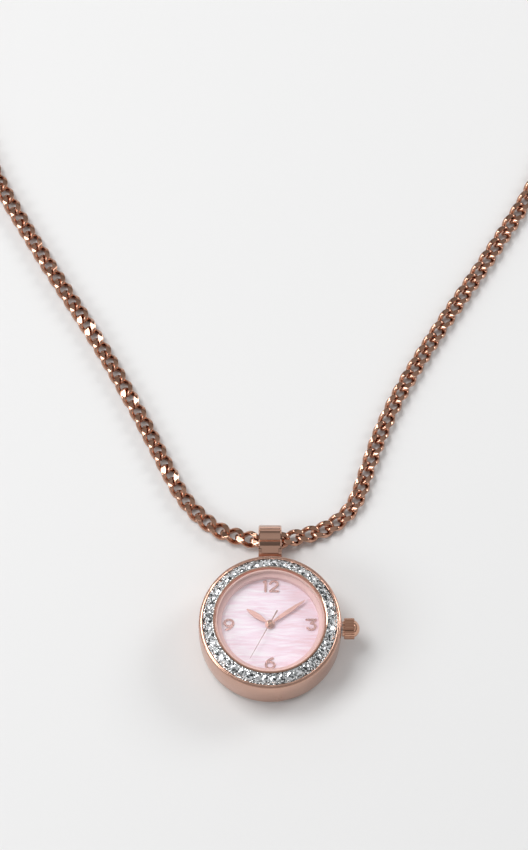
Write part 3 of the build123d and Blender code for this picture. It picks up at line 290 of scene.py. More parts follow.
class Effects:
    """Shader effects that several finishes share, each built once as a node group.

    Attributes:
        scratch_lines: How much finer the scratches are than the smears, along X, Y and Z.
        swell_profile: Place from 0 to 1 along the piece, and height there from 0 to 1.
    """

    scratch_lines: Triple = (1.5, 22.0, 9.0)
    swell_profile: tuple[Pair, ...] = (
        (0.0, 0.0),
        (0.30, 0.30),
        (0.42, 0.62),
        (0.48, 0.86),
        (0.55, 0.93),
        (0.70, 1.0),
        (0.85, 0.95),
        (0.94, 0.80),
        (1.0, 0.55),
    )

    def __init__(self) -> None:
        """Build the groups."""
        self.drawn = self._drawn_grain()
        self.handled = self._handled()
        self.tinted = self._tinted()
        self.ringed = self._ringed_grain()
        self.swelled = self._swelled()

    @staticmethod
    def _group(
        name: str, inputs: dict[str, object], outputs: tuple[str, ...]
    ) -> tuple[NodeTree, bpy.types.Node, bpy.types.Node]:
        """Start a group with named sockets.

        Args:
            name: The group's name.
            inputs: Socket names with their default values.
            outputs: Socket names. The one named Color is a colour and the others are numbers.

        Returns:
            The group's node tree, its input node and its output node.
        """
        group = bpy.data.node_groups.new(name, "ShaderNodeTree")
        for label, value in inputs.items():
            if isinstance(value, float):
                kind = "NodeSocketFloat"
            else:
                kind = "NodeSocketColor" if len(value) == 4 else "NodeSocketVector"
            socket = group.interface.new_socket(name=label, in_out="INPUT", socket_type=kind)
            socket.default_value = value
        for label in outputs:
            kind = "NodeSocketColor" if label == "Color" else "NodeSocketFloat"
            group.interface.new_socket(name=label, in_out="OUTPUT", socket_type=kind)
        nodes = NodeTree(group)
        return nodes, nodes.add("NodeGroupInput"), nodes.add("NodeGroupOutput")

    def _drawn_grain(self) -> bpy.types.NodeTree:
        """Grain that is drawn out along one direction of the piece.

        Returns:
            The group.
        """
        inputs = {"Lines": (1.0, 1.0, 1.0), "Fine": 3.0}
        nodes, inside, outside = self._group("DrawnGrain", inputs, ("Height",))
        scaled = nodes.vectors("MULTIPLY", nodes.where(), inside.outputs["Lines"])
        finer = nodes.vectors("SCALE", scaled, inside.outputs["Fine"])
        total = nodes.maths("ADD", nodes.noise(scaled), nodes.noise(finer, detail=1.0))
        nodes.fill(outside, Height=nodes.maths("MULTIPLY", total, 0.5))
        return nodes.tree

    def _ringed_grain(self) -> bpy.types.NodeTree:
        """Grain that runs in rings about the piece's upright axis.

        Returns:
            The group.
        """
        nodes, inside, outside = self._group("RingedGrain", {"Rings": 9000.0}, ("Height",))
        squares = [nodes.maths("MULTIPLY", side, side) for side in nodes.split(nodes.where())[:2]]
        reach = nodes.maths("SQRT", nodes.maths("ADD", *squares), 0.0)
        rings = nodes.add("ShaderNodeCombineXYZ")
        nodes.fill(rings, X=nodes.maths("MULTIPLY", reach, inside.outputs["Rings"]))
        nodes.fill(outside, Height=nodes.noise(rings.outputs[0]))
        return nodes.tree

    def _handled(self) -> bpy.types.NodeTree:
        """Faint smears left by handling, as a roughness, and fine scratches, as a height.

        Returns:
            The group.
        """
        inputs = {"Smears": 260.0, "Clean": 0.1, "Smeared": 0.2}
        nodes, inside, outside = self._group("Handled", inputs, ("Roughness", "Scratches"))
        scaled = nodes.vectors("SCALE", nodes.where(), inside.outputs["Smears"])
        spread = nodes.fill(
            nodes.add("ShaderNodeMapRange"),
            Value=nodes.noise(scaled, detail=4.0),
            From_Min=0.35,
            From_Max=0.7,
            To_Min=inside.outputs["Clean"],
            To_Max=inside.outputs["Smeared"],
        )
        streaks = nodes.vectors("MULTIPLY", scaled, self.scratch_lines)
        nodes.fill(
            outside, Roughness=spread.outputs[0], Scratches=nodes.noise(streaks, detail=1.0)
        )
        return nodes.tree

    def _swelled(self) -> bpy.types.NodeTree:
        """A height that rises along Y from the piece's low end and falls a little at the other.

        Returns:
            The group.
        """
        nodes, inside, outside = self._group("Swelled", {"Length": 1.0}, ("Height",))
        along = nodes.split(nodes.where("Generated"))[1]
        stops = tuple((place, grey(height)) for place, height in self.swell_profile)
        run = nodes.maths("MULTIPLY", along, inside.outputs["Length"])
        nodes.fill(outside, Height=nodes.ramp(run, stops, "B_SPLINE"))
        return nodes.tree

    def _tinted(self) -> bpy.types.NodeTree:
        """Slow drift of colour between two near shades.

        Returns:
            The group.
        """
        inputs = {
            "First": (0.8, 0.5, 0.4, 1.0),
            "Second": (0.7, 0.45, 0.36, 1.0),
            "Patches": 180.0,
        }
        nodes, inside, outside = self._group("Tinted", inputs, ("Color",))
        scaled = nodes.vectors("SCALE", nodes.where(), inside.outputs["Patches"])
        patches = nodes.noise(scaled, detail=3.0)
        shades = inside.outputs["First"], inside.outputs["Second"]
        nodes.fill(outside, Color=nodes.mix(patches, *shades))
        return nodes.tree


class Grain(Enum):
    """How the surface of a finish is worked."""

    PLAIN = "plain"
    DRAWN = "drawn"
    RINGED = "ringed"


@dataclass(frozen=True)
class Finish:
    """A solid finish: two near shades, a range of roughness and a worked grain.

    Attributes:
        name: Name of the material.
        first: Main shade.
        second: Shade that it drifts to.
        metal: Whether the surface is metal.
        clean: Roughness where it is clean.
        smeared: Roughness where it is handled.
        grain: How the surface is worked.
        lines: Lines of the grain per metre: along X, Y and Z where it is drawn, and outwards
            from the axis, as the first number, where it is ringed.
        depth: Depth of the grain.
        coat: Weight of a clear coat.
        swell: Height of the swell that the piece's shading has along Y.
    """

    name: str
    first: Colour
    second: Colour
    metal: bool = True
    clean: float = 0.1
    smeared: float = 0.18
    grain: Grain = Grain.PLAIN
    lines: Triple = (1.0, 1.0, 1.0)
    depth: float = 0.000002
    coat: float = 0.0
    swell: float = 0.0

    def made(self, effects: Effects) -> bpy.types.Material:
        """Build the material.

        Args:
            effects: The shared effects.

        Returns:
            The material.
        """
        material, nodes, shader = blank(self.name)
        tint = nodes.placed(
            effects.tinted, First=opaque(self.first), Second=opaque(self.second)
        )
        touch = nodes.placed(effects.handled, Clean=self.clean, Smeared=self.smeared)
        if self.grain is Grain.DRAWN:
            height = nodes.placed(effects.drawn, Lines=self.lines).outputs["Height"]
        elif self.grain is Grain.RINGED:
            height = nodes.placed(effects.ringed, Rings=self.lines[0]).outputs["Height"]
        else:
            height = touch.outputs["Scratches"]
        risen = None
        if self.swell:
            risen = nodes.bump(nodes.placed(effects.swelled).outputs["Height"], self.swell)
        nodes.fill(
            shader,
            Base_Color=tint.outputs["Color"],
            Metallic=1.0 if self.metal else 0.0,
            Roughness=touch.outputs["Roughness"],
            Coat_Weight=self.coat,
            Coat_Roughness=0.08,
            Normal=nodes.bump(height, self.depth, risen),
        )
        return material


@dataclass(frozen=True)
class PearlFinish:
    """Pink mother of pearl with wavy bands across the dial, and a painted light that pales it
    towards 9 o'clock.

    Attributes:
        name: Name of the material.
        deep: Deepest pink.
        middle: Usual pink.
        pale: Palest lilac white.
        shares: Where the deep, middle and pale shades lie, from 0 to 1.
        layers: Changes per metre across and up the dial, and detail, of each layer of bands.
        waves: Waves of the bands per metre.
        wave_height: Height of the waves.
        drift: Change of shade per metre towards 3 o'clock, a painted light: paler towards 9
            o'clock, deeper towards 3 o'clock.
        relief: Height of the bands.
    """

    name: str = "PinkPearl"
    deep: Colour = (0.85, 0.60, 0.67)
    middle: Colour = (0.91, 0.74, 0.85)
    pale: Colour = (0.97, 0.92, 0.98)
    shares: Triple = (0.32, 0.46, 0.62)
    layers: tuple[Triple, ...] = ((90.0, 620.0, 3.0), (260.0, 2108.0, 2.0))
    waves: float = 160.0
    wave_height: float = 0.0012
    drift: float = -9.0
    relief: float = 0.000012

    def made(self) -> bpy.types.Material:
        """Build the material.

        Returns:
            The material.
        """
        material, nodes, shader = blank(self.name)
        place = nodes.where()
        wander = nodes.noise(place, self.waves, output="Color")
        bent = nodes.vectors("ADD", place, nodes.vectors("SCALE", wander, self.wave_height))
        halves = []
        for across, along, detail in self.layers:
            drawn = nodes.vectors("MULTIPLY", bent, (across, along, 0.0))
            halves.append(nodes.maths("MULTIPLY", nodes.noise(drawn, detail=detail), 0.5))
        bands = nodes.maths("ADD", *halves)
        # Painted light: the shade is pushed paler towards 9 o'clock and deeper towards 3 o'clock.
        painted_side_light = nodes.maths("MULTIPLY", nodes.split(place)[0], self.drift)
        stops = tuple(zip(self.shares, (self.deep, self.middle, self.pale)))
        nodes.fill(
            shader,
            Base_Color=nodes.ramp(nodes.maths("ADD", bands, painted_side_light), stops),
            Roughness=0.32,
            Coat_Weight=0.35,
            Coat_Roughness=0.12,
            Normal=nodes.bump(bands, self.relief),
        )
        return material


@dataclass(frozen=True)
class StoneFinish:
    """Cut clear stones with painted reflections: each small facet cell is painted dark, middle or
    pale, as if it flashed light or dark.

    Attributes:
        name: Name of the material.
        dark: Painted reflection of the darkest facets.
        middle: Painted reflection between the two.
        pale: Painted highlight of the brightest facets.
        shares: Where the dark, middle and pale shades lie, from 0 to 1.
        flashes: Painted flashes per metre across a stone.
        relief: Height of the small cut faces.
    """

    name: str = "CutStone"
    dark: Colour = (0.06, 0.07, 0.07)
    middle: Colour = (0.50, 0.52, 0.53)
    pale: Colour = (0.97, 0.98, 1.0)
    shares: Triple = (0.16, 0.30, 0.52)
    flashes: float = 2600.0
    relief: float = 0.00003

    def made(self) -> bpy.types.Material:
        """Build the material.

        Returns:
            The material.
        """
        material, nodes, shader = blank(self.name)
        cells = nodes.add("ShaderNodeTexVoronoi")
        nodes.fill(cells, Vector=nodes.where(), Scale=self.flashes)
        painted_glints = nodes.add("ShaderNodeSeparateColor")
        nodes.fill(painted_glints, Color=cells.outputs["Color"])
        # Painted reflections: each cell's random value picks a dark, middle or pale facet colour.
        stops = tuple(zip(self.shares, (self.dark, self.middle, self.pale)))
        nodes.fill(
            shader,
            Base_Color=nodes.ramp(painted_glints.outputs[0], stops),
            Metallic=0.8,
            Roughness=0.06,
            Coat_Weight=0.6,
            Coat_Roughness=0.02,
            Normal=nodes.bump(cells.outputs["Distance"], self.relief),
        )
        return material


@dataclass(frozen=True)
class ClearFinish:
    """Clear glass.

    Attributes:
        name: Name of the material.
        colour: Body colour.
        alpha: How much of the surface is kept.
        index: Refractive index.
        rough: Roughness.
        fade: Level of the fainter shade that the colour drifts to.
    """

    name: str = "ClearGlass"
    colour: Colour = (1.0, 1.0, 1.0)
    alpha: float = 0.06
    index: float = 1.5
    rough: float = 0.02
    fade: float = 0.96

    def made(self, effects: Effects) -> bpy.types.Material:
        """Build the material.

        Args:
            effects: The shared effects.

        Returns:
            The material.
        """
        material, nodes, shader = blank(self.name)
        faint = tuple(channel * self.fade for channel in self.colour)
        tint = nodes.placed(
            effects.tinted, First=opaque(faint), Second=opaque(self.colour), Patches=90.0
        )
        nodes.fill(
            shader,
            Base_Color=tint.outputs["Color"],
            Roughness=self.rough,
            IOR=self.index,
            Alpha=self.alpha,
        )
        return material


class Wardrobe:
    """Every finish of the watch, built once and handed out by name."""

    def __init__(self, effects: Effects) -> None:
        """Build the materials.

        Args:
            effects: The shared effects.
        """
        rose, deep_rose = (0.74, 0.45, 0.34), (0.66, 0.39, 0.29)
        steel, dull_steel = (0.62, 0.62, 0.63), (0.52, 0.52, 0.54)
        brass, dull_brass = (0.78, 0.64, 0.36), (0.70, 0.56, 0.30)
        finishes = (
            Finish("RoseCase", (0.67, 0.41, 0.32), (0.60, 0.36, 0.27), clean=0.18, smeared=0.28,
                   grain=Grain.DRAWN, lines=(60.0, 60.0, 9000.0)),
            Finish("RosePolish", rose, deep_rose, clean=0.06, smeared=0.12),
            Finish("RoseCrown", (0.72, 0.42, 0.30), (0.60, 0.34, 0.23), clean=0.05, smeared=0.10),
            Finish("RoseBail", rose, deep_rose, clean=0.08, smeared=0.13, swell=0.0022),
            Finish("RoseChain", (0.63, 0.37, 0.27), (0.51, 0.28, 0.19), clean=0.05, smeared=0.11),
            Finish("RoseSatin", (0.77, 0.50, 0.48), (0.73, 0.46, 0.44), metal=False, clean=0.34,
                   smeared=0.42, grain=Grain.RINGED, lines=(9000.0, 0.0, 0.0)),
            Finish("RoseApplied", (0.78, 0.46, 0.42), (0.72, 0.41, 0.37), clean=0.18,
                   smeared=0.26),
            Finish("RoseHands", (0.72, 0.42, 0.37), (0.66, 0.38, 0.33), clean=0.34, smeared=0.42,
                   grain=Grain.DRAWN, lines=(4000.0, 4000.0, 1.0)),
            Finish("BrightGrain", grey(0.86), grey(0.70), clean=0.08, smeared=0.16),
            Finish("SteelBack", steel, dull_steel, clean=0.22, smeared=0.34,
                   grain=Grain.RINGED, lines=(7000.0, 0.0, 0.0)),
            Finish("SteelPolish", steel, dull_steel, clean=0.10, smeared=0.18),
            Finish("SpringSteel", (0.55, 0.55, 0.57), (0.46, 0.46, 0.50), clean=0.24,
                   smeared=0.32, grain=Grain.DRAWN, lines=(300.0, 6000.0, 300.0)),
            Finish("PlainBrass", brass, dull_brass, clean=0.24, smeared=0.34,
                   grain=Grain.RINGED, lines=(5000.0, 0.0, 0.0)),
            Finish("WheelBrass", brass, dull_brass, clean=0.14, smeared=0.22),
            Finish("SoftIron", (0.50, 0.51, 0.53), (0.42, 0.43, 0.46), clean=0.34, smeared=0.44,
                   grain=Grain.DRAWN, lines=(400.0, 5000.0, 400.0)),
            Finish("CopperWire", (0.72, 0.34, 0.19), (0.60, 0.26, 0.14), clean=0.22, smeared=0.30,
                   grain=Grain.DRAWN, lines=(26000.0, 300.0, 300.0), depth=0.00001),
            Finish("BlackRubber", grey(0.03), grey(0.05), metal=False, clean=0.6, smeared=0.75),
            Finish("TintedNylon", (0.80, 0.57, 0.52), (0.74, 0.51, 0.46), metal=False,
                   clean=0.35, smeared=0.5),
            Finish("MouldedPlastic", (0.82, 0.82, 0.78), (0.76, 0.76, 0.71), metal=False,
                   clean=0.42, smeared=0.55, depth=0.000006),
            Finish("GreenBoard", (0.03, 0.20, 0.10), (0.02, 0.14, 0.07), metal=False, clean=0.25,
                   smeared=0.4, coat=0.3),
            Finish("BlackResin", grey(0.015), grey(0.03), metal=False, clean=0.3, smeared=0.4),
            Finish("AmberFilm", (0.70, 0.45, 0.12), (0.60, 0.36, 0.08), metal=False, clean=0.2,
                   smeared=0.3, coat=0.2),
        )
        # The stone channel gets the same painted facet reflections, in smaller, deeper cells.
        channel_painted_glints = StoneFinish(
            "ChannelPaintedGlints", dark=grey(0.05), pale=(0.86, 0.87, 0.87), flashes=2900.0, relief=0.00016
        )
        made = [finish.made(effects) for finish in (*finishes, ClearFinish())]
        made += [finish.made() for finish in (PearlFinish(), StoneFinish(), channel_painted_glints)]
        self.materials = {material.name: material for material in made}

    def __getitem__(self, name: str) -> bpy.types.Material:
        """Give the material of that name."""
        return self.materials[name]

    def dress(self, node: str, name: str) -> None:
        """Give a node of the model a finish.

        Args:
            node: The node's name.
            name: The finish's name.
        """
        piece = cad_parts[node]
        if not piece.data.materials:
            piece.data.materials.append(self[name])
        for slot in piece.material_slots:
            slot.material = self[name]
        log.info("%s: %s", node, name)


@dataclass
class Studio:
    """Pale floor, soft lamps, a room that the metal reflects, and the camera.

    Attributes:
        aim: Point that the picture is centred on.
        distance: Camera to aim.
        elevation: Camera height above the horizon, in degrees.
        shown_width: Width of the picture at the aim.
        frame_pixels: Width and height of the picture in pixels.
        sensor: Width of the camera's sensor, in mm.
        pale: Grey of the floor and of the backdrop.
        floor_reach: Half the width of the floor.
        floor_drop: Gap from the model's base plane to the floor.
        lamps: Name, place, size and power of each lamp.
        lamp_aim: Point that the lamps face.
        room: Height from 0 to 1 and grey of each band of the room.
    """

    aim: Triple = (-1.2 * MM, 41.97 * MM, 9.1 * MM)
    distance: float = 1.0
    elevation: float = 66.8
    shown_width: float = 105.3 * MM
    frame_pixels: tuple[int, int] = (528, 850)
    sensor: float = 36.0
    pale: float = 0.80
    floor_reach: float = 3.0
    floor_drop: float = 0.02 * MM
    lamps: tuple[tuple[str, Triple, float, float], ...] = (
        ("lamp_top", (-0.42, 0.30, 0.88), 0.50, 5.2),
        ("lamp_left", (-0.75, -0.20, 0.50), 0.35, 2.2),
        ("lamp_right", (0.70, 0.45, 0.50), 0.35, 2.4),
    )
    lamp_aim: Triple = (0.0, 0.02, 0.005)
    room: tuple[Pair, ...] = ((0.02, 0.08), (0.30, 0.62), (0.55, 0.60), (0.74, 0.12), (0.97, 0.46))

    def make_camera(self) -> None:
        """Place the camera."""
        camera = bpy.data.objects.new("camera", bpy.data.cameras.new("camera"))
        bpy.context.scene.collection.objects.link(camera)
        rise = math.radians(self.elevation)
        back = Vector((0.0, -math.cos(rise), math.sin(rise)))
        camera.location = Vector(self.aim) + back * self.distance
        camera.rotation_euler = (-back).to_track_quat("-Z", "Y").to_euler()
        long_side = self.shown_width * self.frame_pixels[1] / self.frame_pixels[0]
        camera.data.sensor_width = self.sensor
        camera.data.lens = self.sensor * self.distance / long_side
        camera.data.clip_start = 0.01
        camera.data.clip_end = 20.0
        bpy.context.scene.camera = camera

    def make_floor(self) -> None:
        """Make the pale floor."""
        mesh = bpy.data.meshes.new("floor")
        corners = [
            (x * self.floor_reach, y * self.floor_reach, -self.floor_drop)
            for x, y in ((-1, -1), (1, -1), (1, 1), (-1, 1))
        ]
        mesh.from_pydata(corners, [], [(0, 1, 2, 3)])
        material, nodes, shader = blank("PaleFloor")
        nodes.fill(
            shader,
            Base_Color=opaque(grey(self.pale)),
            Roughness=0.85,
            Normal=nodes.bump(nodes.noise(nodes.where(), scale=900.0), 0.00002),
        )
        floor = set_down(mesh, material)

    def make_lamps(self) -> None:
        """Hang the soft lamps."""
        for name, place, size, power in self.lamps:
            data = bpy.data.lights.new(name, "AREA")
            data.size = size
            data.energy = power
            lamp = bpy.data.objects.new(name, data)
            lamp.location = place
            toward = Vector(self.lamp_aim) - Vector(place)
            lamp.rotation_euler = toward.to_track_quat("-Z", "Y").to_euler()
            bpy.context.scene.collection.objects.link(lamp)

    def make_world(self) -> None:
        """Set the room that the metal reflects, behind a backdrop that only the camera sees."""
        world = bpy.data.worlds.new("room")
        bpy.context.scene.world = world
        world.use_nodes = True
        nodes = NodeTree(world.node_tree)
        stops = tuple((height, grey(level)) for height, level in self.room)
        room = nodes.ramp(nodes.split(nodes.where("Generated"))[2], stops)
        seen = nodes.add("ShaderNodeLightPath").outputs["Is Camera Ray"]
        nodes.fill(
            world.node_tree.nodes["Background"],
            Color=nodes.mix(seen, room, opaque(grey(self.pale))),
            Strength=1.0,
        )

    def build(self) -> None:
        """Make the whole studio but the camera."""
        self.make_floor()
        self.make_lamps()
        self.make_world()
        bpy.context.scene.view_settings.view_transform = "Standard"


@dataclass(frozen=True)
class CurbLink:
    """One flat-cut curb link of round wire.

    Attributes:
        wire: Wire diameter.
        width: Width over the wires.
        length: Length over the wires.
        lean: Lean of each bow, in degrees.
        flat: Height of the cut flats above the middle.
        steps: Sections round the link.
        sides: Sides of the wire.
    """

    wire: float = 1.0 * MM
    width: float = 3.45 * MM
    length: float = 5.2 * MM
    lean: float = 44.0
    flat: float = 0.92 * MM
    steps: int = 40
    sides: int = 14

    def centre_line(self) -> np.ndarray:
        """Points round the middle of the wire.

        Returns:
            The points, one row each.
        """
        bow = (self.width - self.wire) / 2
        half = (self.length - self.wire) / 2 - bow
        around = 2 * math.pi * bow + 4 * half
        points = []
        for step in range(self.steps):
            run = around * step / self.steps
            if run < 2 * half:
                across, up = -half + run, bow
            elif run < 2 * half + math.pi * bow:
                turn = (run - 2 * half) / bow
                across, up = half + bow * math.sin(turn), bow * math.cos(turn)
            elif run < 4 * half + math.pi * bow:
                across, up = half - (run - 2 * half - math.pi * bow), -bow
            else:
                turn = (run - 4 * half - math.pi * bow) / bow
                across, up = -half - bow * math.sin(turn), -bow * math.cos(turn)
            share = max(-1.0, min(1.0, across / (half + bow / 2)))
            twist = math.radians(self.lean) * math.sin(math.pi / 2 * share)
            points.append((across, up * math.cos(twist), up * math.sin(twist)))
        return np.array(points)

    def template(self) -> tuple[np.ndarray, list[tuple[int, ...]], list[bool]]:
        """Mesh of one link.

        Returns:
            Its points, its faces, and whether each face is shaded smooth.
        """
        line = self.centre_line()
        half = (self.length - self.width) / 2
        shell = bmesh.new()
        rings = []
        for index, point in enumerate(line):
            ahead = line[(index + 1) % len(line)] - line[index - 1]
            ahead /= np.linalg.norm(ahead)
            out = point - np.array((max(-half, min(half, point[0])), 0.0, 0.0))
            out -= ahead * (out @ ahead)
            out /= np.linalg.norm(out)
            over = np.cross(ahead, out)
            ring = []
            for side in range(self.sides):
                turn = 2 * math.pi * side / self.sides
                spoke = out * math.cos(turn) + over * math.sin(turn)
                ring.append(shell.verts.new(point + spoke * self.wire / 2))
            rings.append(ring)
        for first, second in zip(rings, rings[1:] + rings[:1]):
            for side in range(self.sides):
                after = (side + 1) % self.sides
                corners = (first[side], first[after], second[after], second[side])
                shell.faces.new(corners).smooth = True
        for sense in (1.0, -1.0):
            cut = bmesh.ops.bisect_plane(
                shell,
                geom=shell.verts[:] + shell.edges[:] + shell.faces[:],
                plane_co=(0.0, 0.0, sense * self.flat),
                plane_no=(0.0, 0.0, sense),
                clear_outer=True,
            )
            rim = [item for item in cut["geom_cut"] if isinstance(item, bmesh.types.BMEdge)]
            for face in bmesh.ops.holes_fill(shell, edges=rim)["faces"]:
                face.smooth = False
        bmesh.ops.recalc_face_normals(shell, faces=shell.faces[:])
        shell.verts.index_update()
        points = np.array([vert.co[:] for vert in shell.verts])
        faces = [tuple(vert.index for vert in face.verts) for face in shell.faces]
        smooth = [face.smooth for face in shell.faces]
        shell.free()
        return points, faces, smooth


@dataclass(frozen=True)
class ChainStrand:
    """One half of the chain, from the middle of the bail to the clasp.

    Attributes:
        name: Name of the piece.
        node: The node that it stands for.
        route: Points that the strand is laid by.
        leave: Point where it leaves the bail; not used.
        settled: Point from which it no longer follows the bail; not used.
        ring_radius: Radius of the ring at its end.
        on_it: Nodes that hang on its end; not used.
        pitch: Largest spacing of the links.
        ring_wire: Wire radius of the end ring.
        play: Free play between neighbours.
        roll: Largest turn of a link about the line, in degrees.
        sharp: Angle from which an edge is sharp, in degrees.
        link: The link.
    """

    name: str
    node: str
    route: tuple[Triple, ...]
    leave: Triple
    settled: Triple
    ring_radius: float
    on_it: tuple[str, ...]
    pitch: float = 3.15 * MM
    ring_wire: float = 0.3 * MM
    play: float = 0.05 * MM
    roll: float = 7.0
    sharp: float = 38.0
    link: CurbLink = CurbLink()

    def line(self) -> np.ndarray:
        """Smooth line through the route, read from its own spline.

        Returns:
            The line's points, one row each.
        """
        curve = bpy.data.curves.new(f"{self.name}_route", "CURVE")
        curve.dimensions = "3D"
        spline = curve.splines.new("NURBS")
        spline.points.add(len(self.route) - 1)
        for point, place in zip(spline.points, self.route):
            point.co = (*place, 1.0)
        spline.order_u = 3
        spline.use_endpoint_u = True
        spline.resolution_u = 24
        holder = bpy.data.objects.new(f"{self.name}_route", curve)
        bpy.context.scene.collection.objects.link(holder)
        mesh = bpy.data.meshes.new_from_object(holder)
        points = np.array([vert.co[:] for vert in mesh.vertices])
        bpy.data.objects.remove(holder)
        bpy.data.meshes.remove(mesh)
        return points

    def build(self, material: bpy.types.Material) -> None:
        """The last link lies where it hangs in the ring, and the first one half a spacing from the
        start.

        Args:
            material: The chain's material.
        """
        line = self.line()
        runs = np.concatenate(([0.0], np.cumsum(np.linalg.norm(np.diff(line, axis=0), axis=1))))
        reach = self.link.length / 2 - self.link.wire - self.ring_wire - self.play
        usable = runs[-1] - reach - self.ring_radius
        count = math.ceil(usable / self.pitch + 0.5)
        spacing = usable / (count - 0.5)
        points, faces, smooth = self.link.template()
        lie = np.random.default_rng(count)
        all_points, all_faces = [], []
        for index in range(count):
            place, ahead = self._at(line, runs, (index + 0.5) * spacing)
            over = np.array((0.0, 0.0, 1.0)) - ahead * ahead[2]
            over /= np.linalg.norm(over)
            turn = math.radians(lie.uniform(-1, 1) * self.roll)
            over = over * math.cos(turn) + np.cross(ahead, over) * math.sin(turn)
            beside = np.cross(over, ahead)
            start = len(all_points) * len(points)
            all_points.append(place + points @ np.array((ahead, beside, over)))
            all_faces += [tuple(corner + start for corner in face) for face in faces]
        mesh = bpy.data.meshes.new(self.name)
        mesh.from_pydata(np.concatenate(all_points).tolist(), [], all_faces)
        mesh.polygons.foreach_set("use_smooth", smooth * count)
        mesh.set_sharp_from_angle(angle=math.radians(self.sharp))
        strand = set_down(mesh, material)
        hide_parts(self.node)
        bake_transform(strand)
        log.info("%s: %d links, %.1f mm", self.name, count, runs[-1] / MM)

    @staticmethod
    def _at(line: np.ndarray, runs: np.ndarray, run: float) -> tuple[np.ndarray, np.ndarray]:
        """Place and heading at a distance along a line.

        Args:
            line: The line's points.
            runs: Distance of each point from the start.
            run: The distance asked for.

        Returns:
            The place and the unit heading.
        """
        step = 0.4 * MM
        before, place, after = (
            np.array([np.interp(run + shift, runs, line[:, axis]) for axis in range(3)])
            for shift in (-step, 0.0, step)
        )
        ahead = after - before
        return place, ahead / np.linalg.norm(ahead)


@dataclass
class Chain:
    """The whole curb chain, laid up both sides of the watch and closed by its clasp.

    Attributes:
        left: The strand towards 9 o'clock.
        right: The strand towards 3 o'clock.
    """

    left: ChainStrand = ChainStrand(
        name="curb_chain_left",
        node="chain_left",
        route=(
            (0.0, 0.0194, 0.00245),
            (-0.0072, 0.0209, 0.00135),
            (-0.0126, 0.0240, 0.00105),
            (-0.0176, 0.0296, 0.00105),
            (-0.0214, 0.0376, 0.00105),
            (-0.0264, 0.0480, 0.00105),
            (-0.0346, 0.0636, 0.00105),
            (-0.0462, 0.0824, 0.00105),
            (-0.0585, 0.1045, 0.00105),
            (-0.0648, 0.1275, 0.00105),
            (-0.0600, 0.1510, 0.00105),
            (-0.0425, 0.1680, 0.00105),
            (-0.0215, 0.1754, 0.00130),
            (-0.0050, 0.1764, 0.00160),
        ),
        leave=(-0.0023, 0.0199, 0.0021),
        settled=(-0.0176, 0.0296, 0.00105),
        ring_radius=1.3 * MM,
        on_it=("clasp_ring", "clasp_body", "clasp_trigger", "clasp_rivet", "clasp_spring"),
    )
    right: ChainStrand = ChainStrand(
        name="curb_chain_right",
        node="chain_right",
        route=(
            (0.0, 0.0194, 0.00245),
            (0.0066, 0.0210, 0.00150),
            (0.0124, 0.0232, 0.00105),
            (0.0170, 0.0276, 0.00105),
            (0.0196, 0.0360, 0.00105),
            (0.0238, 0.0480, 0.00105),
            (0.0322, 0.0632, 0.00105),
            (0.0444, 0.0820, 0.00105),
            (0.0570, 0.1030, 0.00105),
            (0.0642, 0.1265, 0.00105),
            (0.0604, 0.1500, 0.00105),
            (0.0440, 0.1672, 0.00105),
            (0.0235, 0.1752, 0.00130),
            (0.00575, 0.1764, 0.00170),
        ),
        leave=(0.0023, 0.0199, 0.0022),
        settled=(0.0170, 0.0276, 0.00105),
        ring_radius=1.75 * MM,
        on_it=("end_ring",),
    )

    def build(self, finishes: Wardrobe) -> None:
        """Lay both strands.

        Args:
            finishes: The finishes.
        """
        for strand in (self.left, self.right):
            strand.build(finishes["RoseChain"])


@dataclass(frozen=True)
class Brilliant:
    """A round stone with the facets of a brilliant cut.

    Attributes:
        radius: Radius of the girdle.
        table: Radius of the table.
        star: Radius of the ring where star and kite facets meet.
        girdle: Height of the girdle's top.
        crown: Height of the table over the girdle.
        star_share: Height of that ring, as a share of the crown.
        depth: Depth of the point below the girdle.
        sides: Sides of the table.
    """

    radius: float = 0.83 * MM
    table: float = 0.43 * MM
    star: float = 0.62 * MM
    girdle: float = 0.05 * MM
    crown: float = 0.22 * MM
    star_share: float = 0.62
    depth: float = 0.48 * MM
    sides: int = 8

    def facets(self) -> tuple[np.ndarray, list[tuple[int, ...]]]:
        """Points and facets of the stone, with its girdle at height zero.

        Returns:
            The points, one row each, and the facets.
        """
        sides = self.sides
        rings = (
            (self.table, self.girdle + self.crown, 0.5, sides),
            (self.star, self.girdle + self.star_share * self.crown, 0.0, sides),
            (self.radius, self.girdle, 0.0, 2 * sides),
            (self.radius, 0.0, 0.0, 2 * sides),
        )
        points = []
        for reach, height, shift, count in rings:
            for index in range(count):
                turn = 2 * math.pi * (index + shift) / count
                points.append((reach * math.cos(turn), reach * math.sin(turn), height))
        points.append((0.0, 0.0, -self.depth))
        table, star, upper, lower, tip = 0, sides, 2 * sides, 4 * sides, 6 * sides
        faces = [tuple(range(table, table + sides))]
        for index in range(sides):
            after, before = (index + 1) % sides, (index - 1) % sides
            middle, right = upper + 2 * index, upper + 2 * index + 1
            left = upper + (2 * index - 1) % (2 * sides)
            faces.append((table + before, star + index, table + index))
            faces.append((table + index, star + index, right, star + after))
            faces.append((star + index, middle, right))
            faces.append((star + index, left, middle))
        for index in range(2 * sides):
            after = (index + 1) % (2 * sides)
            faces.append((upper + index, lower + index, lower + after, upper + after))
            faces.append((lower + index, tip, lower + after))
        return np.array(points), faces


@dataclass
class Assembly:
    """A sub-assembly of the watch, dressed node by node.

    Attributes:
        looks: Each node with the name of its finish.
    """

    looks: Looks = ()

    def build(self, finishes: Wardrobe) -> None:
        """Dress the nodes.

        Args:
            finishes: The finishes.
        """
        for node, name in self.looks:
            finishes.dress(node, name)


